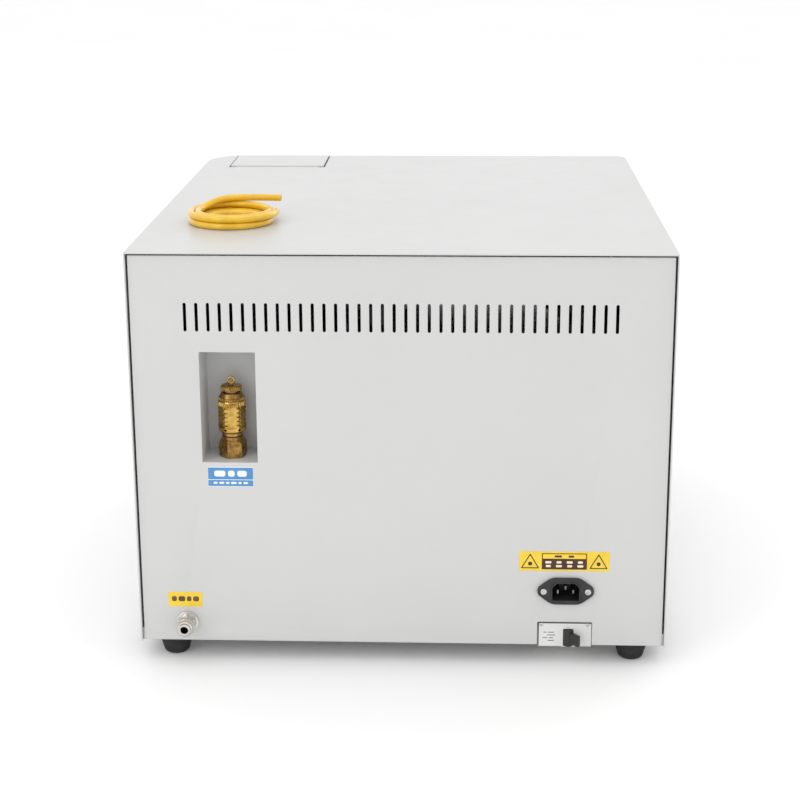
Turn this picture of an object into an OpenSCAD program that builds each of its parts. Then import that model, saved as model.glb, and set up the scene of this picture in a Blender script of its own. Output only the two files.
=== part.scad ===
// Benchtop steam autoclave: a sheet-metal casing around a horizontal pressure chamber.
// Frame: millimetres, +Z up, the door faces -Y, the rear panel faces +Y.
// The origin is on the bench, under the middle of the machine.

/* [Casing] */
// Width across the outer sides of the cover
case_w = 480; // [476:2:500]
// Depth of the cover, front edge to rear edge
case_d = 530; // [526:2:560]
// Height of the cover's sides
case_h = 366; // [364:1:380]
// Height of the rubber feet
foot_h = 18; // [15:1:22]
// Radius of a foot at its top
foot_r = 16; // [14:0.5:18]
// Thickness of the steel sheet
sheet_t = 1.2; // [0.8:0.1:1.5]
// Plan radius of the cover's front corner on the tank side
corner_tank_r = 40; // [30:1:45]
// Plan radius of the cover's front corner on the hinge side
corner_hinge_r = 12; // [8:1:14]
// Gap between the rear panel and the cover around it
panel_gap = 1.6; // [1:0.1:2.5]

/* [Rear panel] */
// Number of cooling slots
slot_count = 38; // [20:1:40]
// Distance between neighbouring slots
slot_pitch = 10.2; // [9:0.1:10.4]
// Width of one slot
slot_w = 2.8; // [2:0.1:3.5]
// Height of one slot
slot_h = 26; // [20:1:30]
// Clear width of the valve pocket
pocket_w = 49.6; // [46:0.2:52]
// Clear height of the valve pocket
pocket_h = 102.4; // [100:0.2:106]
// Clear depth of the valve pocket
pocket_d = 40; // [38:1:44]
// Outer radius of the push-in drain fitting
drain_r = 7.5; // [6.5:0.1:8]
// Radius of the socket that takes the hose
drain_bore_r = 3.4; // [2.9:0.1:3.7]

/* [Chamber] */
// Inner radius of the pressure chamber
chamber_r = 125; // [115:1:126]
// Inner depth of the pressure chamber
chamber_d = 448; // [440:1:450]
// Wall thickness of the chamber
chamber_t = 3; // [2.5:0.5:4]
// Number of instrument trays
tray_count = 3; // [3:1:3]

/* [Door] */
// Width of the door
door_w = 310; // [304:1:312]
// Height of the door
door_h = 300; // [296:1:302]
// How far the door stands forward of its closing plane
door_t = 34; // [34:0.5:36]
// Stroke of each lock bolt for a quarter turn of the handle
bolt_stroke = 12.5; // [10:0.5:13]

/* [Hose] */
// Outer diameter of the drain hose
hose_d = 6.5; // [5.5:0.5:7]
// Radius of the coil at the middle of its outer turn
coil_r = 40; // [39:1:44]

/* [Hidden] */
$fn = 48;

half_w = case_w / 2;
base_z = foot_h;
top_z = foot_h + case_h;
front_reach = 52;
rear_reach = 18;
rear_y = (case_d + front_reach - rear_reach) / 2;
front_y = rear_y - case_d;
panel_y = rear_y - 2;
panel_back = panel_y - sheet_t;
inner_top = top_z - sheet_t;

// Rear panel places, across and up
panel_side = half_w - sheet_t - panel_gap;
slot_z = 326;
pocket_x = 152.7;
pocket_z = 191.8;
pocket_y = panel_back - pocket_d;
pocket_wall = 1.2;
valve_y = panel_y - 21;
hex_h = 15;
body_foot = 23;
body_h = 30;
cap_plug = 4;
disc_z = pocket_z + body_foot + 2.2;
disc_h = 2.5;
drain_x = 196.7;
drain_z = 37;
drain_shank_r = 6.5;
drain_hex_r = 9;
drain_reach = 20;
drain_socket = 17;
inlet_x = -148.9;
inlet_z = 72;
inlet_pitch = 40;
breaker_x = -148.7;
breaker_z = 28.4;
breaker_w = 48.8;
breaker_h = 23.8;
breaker_front = panel_back - 0.2;
breaker_back = panel_back - 38;
toggle_x = breaker_x - 3.5;
toggle_y = breaker_front - 0.5;
toggle_z = breaker_z - 3;
toggle_half = 8;
toggle_r = 4.2;
toggle_pin_r = 1.5;
run = 0.05;
label_t = 0.3;

// Fascia
fascia_t = 2.5;
fascia_back = front_y + fascia_t;
fascia_left = -half_w + corner_hinge_r + 0.3;
fascia_right = half_w - corner_tank_r - 0.3;

// Chamber
chamber_x = -59;
chamber_z = 212;
flange_r = 146;
flange_t = 10;
chamber_or = chamber_r + chamber_t;
chamber_end = front_y + chamber_d;
end_t = 6;
steam_z = -62;
steam_x = 70;
pipe_r = 5;
pipe_y = chamber_end + 35;
pipe_z = chamber_z + steam_z;
valve_foot = 175.5;
heater_t = 2.6;
heater_y = -90;
heater_l = 150;
wool_t = 12;
wool_y = front_y + 22;
wool_end = 158;
rail_x = 95;
rack_y = front_y + 14;
rack_end = chamber_end - 10;
tray_w = 184;
tray_l = 400;
tray_h = 15;
tray_t = 1;
tray_levels = [-62, -14, 34];
runner_t = 1.5;

// Tank and its hatch
hatch_x0 = 104;
hatch_x1 = 209;
hatch_y0 = front_y + 4;
hatch_y1 = front_y + 80;
hatch_t = 1.5;
hatch_gap = 1.6;
hatch_back_gap = 2;
hatch_rise = 0.8;
knuckle_r = 2.2;
hatch_pin_r = 0.9;
hatch_axis_y = hatch_y1 - knuckle_r;
hatch_axis_z = top_z - knuckle_r;
tank_x0 = 98;
tank_x1 = 226;
tank_y0 = front_y + 22;
tank_y1 = -70;
tank_z0 = 215;
tank_z1 = 376;
tank_t = 2.5;

// Door, with its back on the closing plane
door_back = front_y - 2;
door_front = door_back - door_t;
door_x0 = chamber_x - door_w / 2;
door_wall = 2.5;
plate_r = 143;
plate_t = 9;
plate_front = door_back - plate_t;
seal_in = 127;
seal_out = 137;
frame_t = 4;
frame_front = plate_front - frame_t;
hinge_x = door_x0 - 8;
hinge_y = front_y - 14;
hinge_r = 7;
hinge_pin_r = 4;
hinge_zs = [chamber_z - 95, chamber_z + 95];
hinge_half = 8;
arm_h = 8;
bolt_r = 6;
bolt_y = frame_front - bolt_r - 2;
pinion_r = bolt_stroke * 2 / PI;
bolt_dx = -(pinion_r + bolt_r + 0.3);
spindle_r = 5;
keeper_h = 13;

// Control side of the fascia
panel_cx = 151;
window_z = 302;
window_w = 70;
window_h = 42;
button_z = 246;
button_xs = [-28, 0, 28];
button_r = 7;

// Cooling fan behind the slots
fan_x = 20;
fan_size = 60;
fan_t = 20;
fan_y = panel_back - 6 - fan_t;

// Hose on the cover, wound about the point coil_x, coil_y
coil_x = 162;
coil_y = rear_y - 138;
coil_layers = 2;
coil_turns = 3;
coil_top = top_z + coil_layers * hose_d;
// Loose end of the hose: offsets from the middle of the coil's top, and the height of its centre
tail_route = [
    [14, -35.3, 3.3], [8, -36.8, 3.3], [1, -37.6, 3.4], [-6, -37.9, 3.4], [-13, -37.9, 3.4],
    [-20, -37.6, 3.4], [-27, -37.2, 3.3], [-34, -36.7, 3.2], [-41, -36.2, 3.1]
];

steel_paint = [0.86, 0.86, 0.84];
inner_steel = [0.72, 0.73, 0.74];
stainless = [0.78, 0.78, 0.77];
brass = [0.72, 0.53, 0.2];
black = [0.07, 0.07, 0.08];

// ---------- shared shapes ----------

// Children drawn in X and Z, given a thickness t that ends at y and runs towards -Y
module upright(y, t) {
    translate([0, y, 0]) rotate([90, 0, 0]) linear_extrude(t) children();
}

// A round bar of length l from y towards +Y
module bar_y(x, y, z, r, l, sides = 48) {
    translate([x, y, z]) rotate([-90, 0, 0]) cylinder(r = r, h = l, $fn = sides);
}

// A round bar of length l from x towards +X
module bar_x(x, y, z, r, l, sides = 32) {
    translate([x, y, z]) rotate([0, 90, 0]) cylinder(r = r, h = l, $fn = sides);
}

// A box between two corners
module block(a, b) {
    translate(a) cube(b - a);
}

// A rectangle with round corners, about its own middle
module round_rect(w, h, r) {
    square([w - 2 * r, h], center = true);
    square([w, h - 2 * r], center = true);
    for (i = [-1, 1], j = [-1, 1])
        translate([i * (w / 2 - r), j * (h / 2 - r)]) circle(r = r);
}

// Plan of the casing: two front corners of different radius and square rear corners
module casing_plan(inset, y0, y1) {
    w = half_w - inset;
    rh = corner_hinge_r - inset;
    rt = corner_tank_r - inset;
    front = front_y + inset;
    intersection() {
        union() {
            translate([-w + rh, front]) square([2 * w - rh - rt, case_d]);
            translate([-w, front + rh]) square([2 * w, case_d]);
            translate([0, front + rt]) square([w, case_d - rt]);
            translate([-w + rh, front + rh]) circle(r = rh);
            translate([w - rt, front + rt]) circle(r = rt);
        }
        translate([-case_w, y0]) square([2 * case_w, y1 - y0]);
        union() {
            translate([-case_w, y0]) square([case_w + w - rt, y1 - y0]);
            translate([0, front + rt]) square([case_w, case_d]);
            translate([w - rt, front + rt]) circle(r = rt);
        }
    }
}

// Rounded cooling slot
module slot_shape() {
    square([slot_w, slot_h - slot_w], center = true);
    for (j = [-1, 1])
        translate([0, j * (slot_h - slot_w) / 2]) circle(d = slot_w, $fn = 16);
}

// ---------- casing ----------

module base_pan() {
    floor_t = 1.5;
    rim_h = 12;
    y0 = fascia_back + 0.3;
    y1 = panel_back - 0.3;
    color(inner_steel) difference() {
        translate([0, 0, base_z]) linear_extrude(rim_h) casing_plan(sheet_t + 0.3, y0, y1);
        translate([0, 0, base_z + floor_t]) linear_extrude(rim_h)
            casing_plan(2 * sheet_t + 0.3, y0 + sheet_t, y1 - sheet_t);
        for (p = foot_places()) translate([p.x, p.y, base_z - 1]) cylinder(r = 2.1, h = 4);
        block([breaker_x - 27, breaker_back - 2, base_z - 1],
            [breaker_x + 27, y1 + 4, base_z + rim_h + 1]);
        for (p = side_screw_places())
            bar_x(p.x - 6, p.y, p.z, 1.8, 12);
    }
}

module top_cover() {
    color(steel_paint) difference() {
        translate([0, 0, base_z]) linear_extrude(case_h) casing_plan(0, front_y - 1, rear_y);
        translate([0, 0, base_z - 1]) linear_extrude(case_h - sheet_t + 1)
            casing_plan(sheet_t, front_y, rear_y + 5);
        block([-half_w + corner_hinge_r, front_y - 1, base_z - 1],
            [half_w - corner_tank_r, front_y + 2 * sheet_t, inner_top]);
        block([hatch_x0 - hatch_gap, hatch_y0 - hatch_gap, inner_top - 1],
            [hatch_x1 + hatch_gap, hatch_y1 + hatch_back_gap, top_z + 1]);
        for (p = side_screw_places())
            bar_x(p.x - 6, p.y, p.z, 2.2, 12);
    }
}

module rear_panel() {
    z0 = base_z + 0.4;
    color(steel_paint) upright(panel_y, sheet_t) difference() {
        translate([-panel_side, z0]) square([2 * panel_side, inner_top - panel_gap - z0]);
        for (i = [0:slot_count - 1])
            translate([(i - (slot_count - 1) / 2) * slot_pitch, slot_z]) slot_shape();
        translate([pocket_x - pocket_w / 2, pocket_z]) square([pocket_w, pocket_h]);
        translate([drain_x, drain_z]) circle(r = drain_shank_r);
        translate([inlet_x, inlet_z]) square([28.6, 20.6], center = true);
        translate([breaker_x - breaker_w / 2 - 0.4, 0])
            square([breaker_w + 0.8, breaker_z + breaker_h / 2 + 0.5]);
        for (i = [-1, 1]) translate([inlet_x + i * inlet_pitch / 2, inlet_z]) circle(r = 1.3);
    }
}

module front_fascia() {
    color(steel_paint) upright(fascia_back, fascia_t) difference() {
        translate([fascia_left, base_z + 0.4])
            square([fascia_right - fascia_left, inner_top - base_z - 0.8]);
        translate([chamber_x, chamber_z]) circle(r = flange_r + 0.5, $fn = 96);
        translate([panel_cx, window_z]) square([window_w, window_h], center = true);
        for (x = button_xs) translate([panel_cx + x, button_z]) circle(r = button_r + 0.35);
    }
}

// Steel box that holds the safety valve, open towards the rear, with a flange on the panel
module valve_pocket() {
    lip = 9;
    x0 = pocket_x - pocket_w / 2;
    x1 = pocket_x + pocket_w / 2;
    z1 = pocket_z + pocket_h;
    color(steel_paint) difference() {
        union() {
            block([x0 - pocket_wall, pocket_y - pocket_wall, pocket_z - pocket_wall],
                [x1 + pocket_wall, panel_back, z1 + pocket_wall]);
            block([x0 - lip, panel_back - pocket_wall, pocket_z - lip],
                [x1 + lip, panel_back, z1 + lip]);
        }
        block([x0, pocket_y, pocket_z], [x1, panel_back + 1, z1]);
        translate([pocket_x, valve_y, pocket_z - 2]) cylinder(r = 7, h = 4);
    }
}

function foot_places() = [
    [-211, front_y + 42], [211, front_y + 42], [-211, rear_y - 22], [211, rear_y - 22]
];

module foot(i) {
    p = foot_places()[i];
    color(black) translate([p.x, p.y, 0]) difference() {
        rotate_extrude() polygon([
            [0, 0], [foot_r - 6.4, 0], [foot_r - 4.6, 1.4], [foot_r - 0.4, foot_h - 4],
            [foot_r - 0.4, foot_h], [0, foot_h]
        ]);
        translate([0, 0, -1]) cylinder(r = 5, h = 9);
        cylinder(r = 2.1, h = foot_h + 1);
    }
}

function side_screw_places() = [
    for (s = [-1, 1], y = [front_y + 60, (front_y + rear_y) / 2, rear_y - 40])
        [s * half_w, y, base_z + 8]
];

// Pan-head screws: four hold the feet from below, six hold the cover at its sides
module casing_screws() {
    color(inner_steel) {
        for (p = foot_places()) translate([p.x, p.y, 0]) {
            translate([0, 0, 5.5]) cylinder(r = 3.9, h = 2.5);
            translate([0, 0, 8]) cylinder(r = 2, h = foot_h - 4);
        }
        for (p = side_screw_places()) difference() {
            union() {
                bar_x(p.x > 0 ? p.x : p.x - 1.8, p.y, p.z, 3.6, 1.8);
                bar_x(p.x > 0 ? p.x - 6 : p.x, p.y, p.z, 1.75, 6);
            }
            translate([p.x > 0 ? p.x + 1.8 : p.x - 1.8, p.y, p.z]) {
                cube([1.6, 4, 0.8], center = true);
                cube([1.6, 0.8, 4], center = true);
            }
        }
    }
}

// Lid over the tank filler, slightly proud of the cover, with a rolled rear edge for its pin
module tank_hatch() {
    color(steel_paint) difference() {
        union() {
            block([hatch_x0, hatch_y0, top_z - hatch_t], [hatch_x1, hatch_axis_y, top_z + hatch_rise]);
            bar_x(hatch_x0 + 6, hatch_axis_y, hatch_axis_z, knuckle_r, hatch_x1 - hatch_x0 - 12);
        }
        bar_x(hatch_x0 - 1, hatch_axis_y, hatch_axis_z, hatch_pin_r + run, hatch_x1 - hatch_x0 + 2);
    }
}

module hatch_hinge_pin() {
    color(stainless)
        bar_x(hatch_x0 - 7, hatch_axis_y, hatch_axis_z, hatch_pin_r, hatch_x1 - hatch_x0 + 14);
}

module hatch_brackets() {
    color(inner_steel) for (x = [hatch_x0 - 7, hatch_x1 + 1.5]) difference() {
        block([x, hatch_axis_y - 3, inner_top - 5], [x + 5.5, hatch_axis_y + 4, inner_top]);
        bar_x(x - 1, hatch_axis_y, hatch_axis_z, hatch_pin_r + 0.02, 8);
    }
}

// ---------- safety valve ----------

module valve_base() {
    color(brass) translate([pocket_x, valve_y, 0]) difference() {
        union() {
            translate([0, 0, valve_foot]) cylinder(r = 6.9, h = pocket_z - valve_foot + 1);
            translate([0, 0, pocket_z]) rotate(15) cylinder(r = 12.7, h = hex_h, $fn = 6);
            translate([0, 0, pocket_z + hex_h]) cylinder(r1 = 11, r2 = 9.5, h = 1.5);
            translate([0, 0, pocket_z + hex_h + 1.5]) cylinder(r = 9.5, h = body_foot - hex_h - 1.5);
        }
        translate([0, 0, valve_foot - 1]) cylinder(r = 4, h = 60);
    }
}

module valve_body() {
    z = pocket_z + body_foot;
    color(brass) translate([pocket_x, valve_y, z]) difference() {
        union() {
            cylinder(r1 = 9.8, r2 = 12.5, h = 2);
            translate([0, 0, 2]) cylinder(r = 12.5, h = body_h - 2);
        }
        for (a = [38:60:338]) rotate(a) translate([11.2, -10, 5.5]) cube([5, 20, 19.5]);
        translate([0, 0, 2]) cylinder(r = 8.5, h = body_h);
        translate([0, 0, -1]) cylinder(r = 4, h = 5);
        for (a = [8:60:308]) rotate([0, 0, a]) translate([7, 0, 3.8]) rotate([0, 90, 0])
            cylinder(r = 1.2, h = 10, $fn = 16);
    }
}

module valve_cap() {
    z = pocket_z + body_foot + body_h;
    color(brass) translate([pocket_x, valve_y, z]) difference() {
        union() {
            translate([0, 0, -cap_plug]) cylinder(r = 8.45, h = cap_plug);
            cylinder(r = 11.8, h = 3);
            translate([0, 0, 3]) cylinder(r1 = 10.6, r2 = 9.6, h = 4);
            translate([0, 0, 7]) cylinder(r = 7.5, h = 2);
            translate([0, 0, 9]) cylinder(r = 9.4, h = 4.5);
        }
        translate([0, 0, -5]) cylinder(r = 2.2 + run, h = 30);
    }
}

// Stem with its sealing disc below and a pull ring above the cap
module valve_stem() {
    ring_z = pocket_z + 71;
    color(brass) translate([pocket_x, valve_y, 0]) {
        translate([0, 0, disc_z]) cylinder(r = 7, h = disc_h);
        translate([0, 0, disc_z + 1]) cylinder(r = 2.2, h = ring_z - disc_z - 4.5);
        translate([0, 0, ring_z]) rotate([90, 0, 0]) rotate_extrude()
            translate([3.1, 0]) circle(r = 1, $fn = 24);
    }
}

// Rings of a helical tube: radius big, wire radius thin, turns over height tall
function helix_points(big, thin, turns, tall, steps, sides) = [
    for (i = [0:steps], j = [0:sides - 1])
        let (a = 360 * turns * i / steps, b = 360 * j / sides)
        [
            (big + thin * cos(b)) * cos(a),
            (big + thin * cos(b)) * sin(a),
            tall * i / steps + thin * sin(b)
        ]
];

// Faces of a closed tube whose points come ring by ring
function tube_faces(steps, sides) = concat(
    [[for (j = [0:sides - 1]) j]],
    [
        for (i = [0:steps - 1], j = [0:sides - 1])
            let (a = i * sides + j, b = i * sides + (j + 1) % sides)
            [a, a + sides, b + sides, b]
    ],
    [[for (j = [sides - 1:-1:0]) steps * sides + j]]
);

module valve_spring() {
    wire = 0.8;
    steps = 80;
    low = disc_z + disc_h + 0.2 + wire;
    high = pocket_z + body_foot + body_h - cap_plug - 0.2 - wire;
    color(stainless) translate([pocket_x, valve_y, low])
        polyhedron(helix_points(5, wire, 5, high - low, steps, 8), tube_faces(steps, 8), convexity = 8);
}

// ---------- rear fittings ----------

module label_plate(x, z, w, h) {
    color("white") block([x - w / 2, panel_y, z - h / 2], [x + w / 2, panel_y + label_t, z + h / 2]);
}

module valve_label() {
    label_plate(pocket_x, 178.3, 41, 18.6);
}

module drain_label() {
    label_plate(197.9, 59, 31.5, 14.4);
}

module hazard_label() {
    label_plate(-147.2, 100.5, 81.5, 19);
}

module drain_outlet() {
    color(stainless) difference() {
        union() {
            bar_y(drain_x, panel_y, drain_z, 10.5, 2);
            bar_y(drain_x, panel_back - 20, drain_z, drain_shank_r, sheet_t + 21);
            bar_y(drain_x, panel_y + 1, drain_z, drain_hex_r, 8, 6);
            bar_y(drain_x, panel_y + 1, drain_z, drain_r, drain_reach - 2);
            translate([drain_x, panel_y + drain_reach - 1, drain_z]) rotate([-90, 0, 0])
                cylinder(r1 = drain_r, r2 = drain_r - 1, h = 1);
        }
        bar_y(drain_x, panel_back - 21, drain_z, 2.2, 60);
        bar_y(drain_x, panel_y + drain_reach - drain_socket, drain_z, drain_bore_r, 60);
    }
}

// A round pipe through points, with round elbows
module pipe_run(points, r) {
    for (i = [0:len(points) - 2]) {
        d = points[i + 1] - points[i];
        l = norm(d);
        translate(points[i]) rotate([0, acos(d.z / l), atan2(d.y, d.x)]) cylinder(r = r, h = l);
    }
    if (len(points) > 2)
        for (i = [1:len(points) - 2]) translate(points[i]) sphere(r = r);
}

module drain_pipe() {
    tap_y = tank_y1 - 20;
    color("silver") pipe_run([
        [drain_x, tap_y, tank_z0], [drain_x, tap_y, drain_z], [drain_x, panel_back - 20, drain_z]
    ], 4.5);
}

module inlet_outline() {
    w = 25.5;
    h = 12.7;
    tip = 3;
    flat = 13;
    polygon([
        [-w, -tip], [-flat, -h], [flat, -h], [w, -tip], [w, tip], [flat, h], [-flat, h], [-w, tip]
    ]);
}

module inlet_cavity() {
    w = 12.1;
    h = 8.2;
    c = 4;
    polygon([[-w, -h], [w, -h], [w, h - c], [w - c, h], [-w + c, h], [-w, h - c]]);
}

// Appliance inlet: a flange on the panel and a socket behind it
module mains_inlet() {
    color(black) difference() {
        union() {
            translate([inlet_x, 0, inlet_z]) upright(panel_y + 3.2, 3.2) inlet_outline();
            block([inlet_x - 14, panel_back - 20, inlet_z - 10], [inlet_x + 14, panel_y + 1, inlet_z + 10]);
        }
        translate([inlet_x, 0, inlet_z]) upright(panel_y + 4, 19) inlet_cavity();
        for (i = [-1, 1]) bar_y(inlet_x + i * inlet_pitch / 2, panel_y - 5, inlet_z, 1.6, 20, 24);
        for (p = blade_places()) block(
            [inlet_x + p.x - 1, panel_back - 21, inlet_z + p.y - 2],
            [inlet_x + p.x + 1, panel_y, inlet_z + p.y + 2]
        );
    }
}

function blade_places() = [[-7, -2], [7, -2], [0, 2]];

module inlet_blades() {
    color("gold") for (p = blade_places()) block(
        [inlet_x + p.x - 1, panel_back - 26, inlet_z + p.y - 2],
        [inlet_x + p.x + 1, panel_y - 1.5, inlet_z + p.y + 2]
    );
}

// Small countersunk and pan screws of the inlet and the breaker
module fitting_screws() {
    color(stainless) {
        for (i = [-1, 1]) translate([inlet_x + i * inlet_pitch / 2, 0, inlet_z]) difference() {
            union() {
                bar_y(0, panel_y + 3.2, 0, 2.9, 0.9);
                bar_y(0, panel_y - 6, 0, 1.25, 9.5);
            }
            translate([0, panel_y + 4.1, 0]) cube([0.7, 1, 3.6], center = true);
            translate([0, panel_y + 4.1, 0]) cube([3.6, 1, 0.7], center = true);
        }
        for (i = [-1, 1]) bar_y(breaker_x + i * 21, breaker_front, breaker_z + 9.4, 1.7, 0.6);
    }
}

// Miniature breaker in the notch at the panel's lower edge: face, case and a pocket for the toggle
module breaker_body() {
    w = breaker_w / 2;
    h = breaker_h / 2;
    foot = breaker_z - h - 1;
    color([0.8, 0.8, 0.78]) difference() {
        union() {
            block([breaker_x - w, breaker_front - 4, breaker_z - h],
                [breaker_x + w, breaker_front, breaker_z + h]);
            block([breaker_x - w + 3, breaker_back, breaker_z - h + 1],
                [breaker_x + w - 3, breaker_front - 1, breaker_z + h - 1]);
        }
        translate([toggle_x, toggle_y, toggle_z - toggle_half - 0.3])
            cylinder(r = toggle_r + 0.3, h = 2 * toggle_half + 0.6);
        translate([toggle_x, toggle_y, foot])
            cylinder(r = toggle_pin_r + run, h = toggle_z + toggle_half + 1.6 - foot);
    }
}

// The toggle turns on an upright axis just behind the breaker's face
module breaker_toggle() {
    color(black) translate([toggle_x, toggle_y, toggle_z]) {
        translate([0, 0, -toggle_half]) cylinder(r = toggle_r, h = 2 * toggle_half);
        translate([0, 0, -toggle_half - 1]) cylinder(r = toggle_pin_r, h = 2 * toggle_half + 2);
        rotate([0, 0, 45]) translate([-2, 0, -5.5]) cube([4, 13.5, 11]);
    }
}

// ---------- pressure system ----------

module chamber() {
    color(stainless) difference() {
        union() {
            bar_y(chamber_x, front_y, chamber_z, flange_r, flange_t, 96);
            bar_y(chamber_x, front_y + 1, chamber_z, chamber_or, chamber_d - 1 + end_t, 96);
            bar_y(chamber_x + steam_x, chamber_end + 1, pipe_z, 8, end_t + 8);
        }
        bar_y(chamber_x, front_y - 1, chamber_z, chamber_r, chamber_d + 1, 96);
        bar_y(chamber_x + steam_x, chamber_end - 1, pipe_z, 4, 40);
    }
}

module band_heater() {
    color([0.6, 0.58, 0.54]) difference() {
        union() {
            bar_y(chamber_x, heater_y, chamber_z, chamber_or + heater_t, heater_l, 96);
            block([chamber_x + 60, heater_y + 30, chamber_z - 127],
                [chamber_x + 72, heater_y + 60, chamber_z - 112]);
        }
        bar_y(chamber_x, heater_y - 1, chamber_z, chamber_or + 0.1, heater_l + 2, 96);
    }
}

module chamber_insulation() {
    gap = 0.5;
    inner = chamber_or + heater_t + gap;
    color([0.88, 0.86, 0.8]) difference() {
        bar_y(chamber_x, wool_y, chamber_z, inner + wool_t, wool_end - wool_y, 96);
        bar_y(chamber_x, wool_y - 1, chamber_z, inner, wool_end - wool_y + 2, 96);
        block([chamber_x + 56, heater_y + 26, chamber_z - 150],
            [chamber_x + 76, heater_y + 64, chamber_z - 100]);
    }
}

module chamber_cradles() {
    floor_z = base_z + 1.5;
    color(inner_steel) for (y = [wool_y - 7, wool_end + 4]) difference() {
        union() {
            block([chamber_x - 100, y, floor_z], [chamber_x + 100, y + 3, chamber_z - 50]);
            block([chamber_x - 100, y, floor_z], [chamber_x + 100, y + 16, floor_z + 3]);
        }
        bar_y(chamber_x, y - 1, chamber_z, chamber_or, 6, 96);
        bar_y(chamber_x, y + 3, chamber_z, chamber_or + 18, 20, 96);
    }
}

// Two side plates with runners, joined by rods
module tray_rack() {
    color(stainless) {
        for (s = [-1, 1]) {
            x = chamber_x + s * rail_x;
            block([x - 0.75, rack_y, chamber_z - 79], [x + 0.75, rack_end, chamber_z + 62]);
            for (z = tray_levels) translate([x - s * 4, 0, chamber_z + z])
                block([-4, rack_y, -runner_t], [4, rack_end, 0]);
        }
        for (y = [rack_y + 12, rack_end - 12], z = [-72, 56])
            bar_x(chamber_x - rail_x, y, chamber_z + z, 2.5, 2 * rail_x);
    }
}

// Open tray with a rim and a grid of holes in its floor
module tray(i) {
    z = chamber_z + tray_levels[i];
    y = rack_y + 12;
    x = chamber_x - tray_w / 2;
    color(stainless) difference() {
        block([x, y, z], [x + tray_w, y + tray_l, z + tray_h]);
        block([x + tray_t, y + tray_t, z + tray_t],
            [x + tray_w - tray_t, y + tray_l - tray_t, z + tray_h + 1]);
        for (a = [1:5], b = [1:11])
            translate([x + a * tray_w / 6, y + b * tray_l / 12, z - 1]) cylinder(r = 3, h = 4, $fn = 16);
    }
}

// Pipe from the chamber's rear to the foot of the safety valve
module steam_pipe() {
    start_x = chamber_x + steam_x;
    color("peru") pipe_run([
        [start_x, chamber_end + end_t + 9, pipe_z],
        [start_x, pipe_y, pipe_z],
        [pocket_x, pipe_y, pipe_z],
        [pocket_x, valve_y, pipe_z],
        [pocket_x, valve_y, valve_foot]
    ], pipe_r);
}

// ---------- water system ----------

module water_tank() {
    t = [tank_t, tank_t, tank_t];
    a = [tank_x0, tank_y0, tank_z0];
    b = [tank_x1, tank_y1, tank_z1];
    color([0.9, 0.92, 0.93]) difference() {
        block(a, b);
        block(a + t, b - t);
        block([hatch_x0 + 6, tank_y0 + tank_t + 2, tank_z1 - 5], [hatch_x1 - 6, hatch_y1 - 6, tank_z1 + 1]);
    }
}

// Pump on the base pan: motor, head and two ports
module water_pump() {
    x = 150;
    y = 20;
    z = base_z + 1.5;
    color(inner_steel) {
        difference() {
            block([x - 24, y, z], [x + 24, y + 96, z + 8]);
            for (i = [-1, 1], j = [8, 88])
                translate([x + i * 19, y + j, z - 1]) cylinder(r = 2.2, h = 12);
        }
        bar_y(x, y + 6, z + 30, 23, 54);
        bar_y(x, y + 60, z + 30, 17, 8);
        block([x - 20, y + 68, z + 8], [x + 20, y + 92, z + 52]);
        translate([x - 10, y + 80, z + 52]) cylinder(r = 4, h = 14);
        translate([x + 10, y + 80, z + 52]) cylinder(r = 4, h = 14);
    }
}

// Two equal solenoid valves side by side
module solenoid_valves() {
    z = base_z + 1.5;
    color([0.75, 0.65, 0.4]) for (x = [120, 165]) translate([x, -40, z]) {
        block([-14, -14, 0], [14, 14, 18]);
        bar_x(-20, 0, 9, 5, 40);
        translate([0, 0, 18]) cylinder(r = 5, h = 6);
        block([-13, -11, 22], [13, 11, 46]);
    }
}

// ---------- electrics ----------

module fan_frame() {
    color(black) difference() {
        translate([fan_x, 0, slot_z]) upright(fan_y + fan_t, fan_t) difference() {
            round_rect(fan_size, fan_size, 4);
            circle(r = 27.5);
            for (i = [-1, 1], j = [-1, 1]) translate([i * 25, j * 25]) circle(r = 2.1, $fn = 24);
        }
    }
    color(black) {
        for (a = [0:90:270]) translate([fan_x, fan_y, slot_z]) rotate([0, a, 0])
            block([10, 0, -1.2], [28, 2, 1.2]);
        bar_y(fan_x, fan_y, slot_z, 11, 2);
        bar_y(fan_x, fan_y, slot_z, 2, 10);
    }
}

module fan_rotor() {
    color([0.15, 0.15, 0.16]) translate([fan_x, fan_y + 2.6, slot_z]) difference() {
        union() {
            bar_y(0, 0, 0, 11, 15);
            for (a = [0:7]) rotate([0, a * 45, 0]) translate([9, 7.5, 0]) rotate([35, 0, 0])
                translate([0, -6, -0.7]) cube([17, 12, 1.4]);
        }
        bar_y(0, -1, 0, 2 + run, 10);
    }
}

// Board behind the control side of the fascia
module control_board() {
    y = fascia_back + 9;
    color([0.1, 0.35, 0.2]) {
        block([panel_cx - 42, y, 226], [panel_cx + 42, y + 1.6, 334]);
        for (x = [-30, -6, 18], z = [262, 290])
            block([panel_cx + x, y + 1.6, z], [panel_cx + x + 14, y + 7, z + 10]);
        block([panel_cx - window_w / 2, y - 6.5, window_z - 20],
            [panel_cx + window_w / 2, y, window_z + 20]);
    }
}

module display_window() {
    color([0.05, 0.08, 0.1])
        block([panel_cx - window_w / 2 + 0.3, front_y, window_z - window_h / 2 + 0.3],
            [panel_cx + window_w / 2 - 0.3, front_y + 2, window_z + window_h / 2 - 0.3]);
}

module button(i) {
    x = panel_cx + button_xs[i];
    color([0.3, 0.35, 0.4]) {
        bar_y(x, front_y - 2, button_z, button_r, fascia_t + 4);
        bar_y(x, fascia_back + 0.4, button_z, button_r + 1.6, 1.6);
    }
}

// ---------- door ----------

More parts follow.
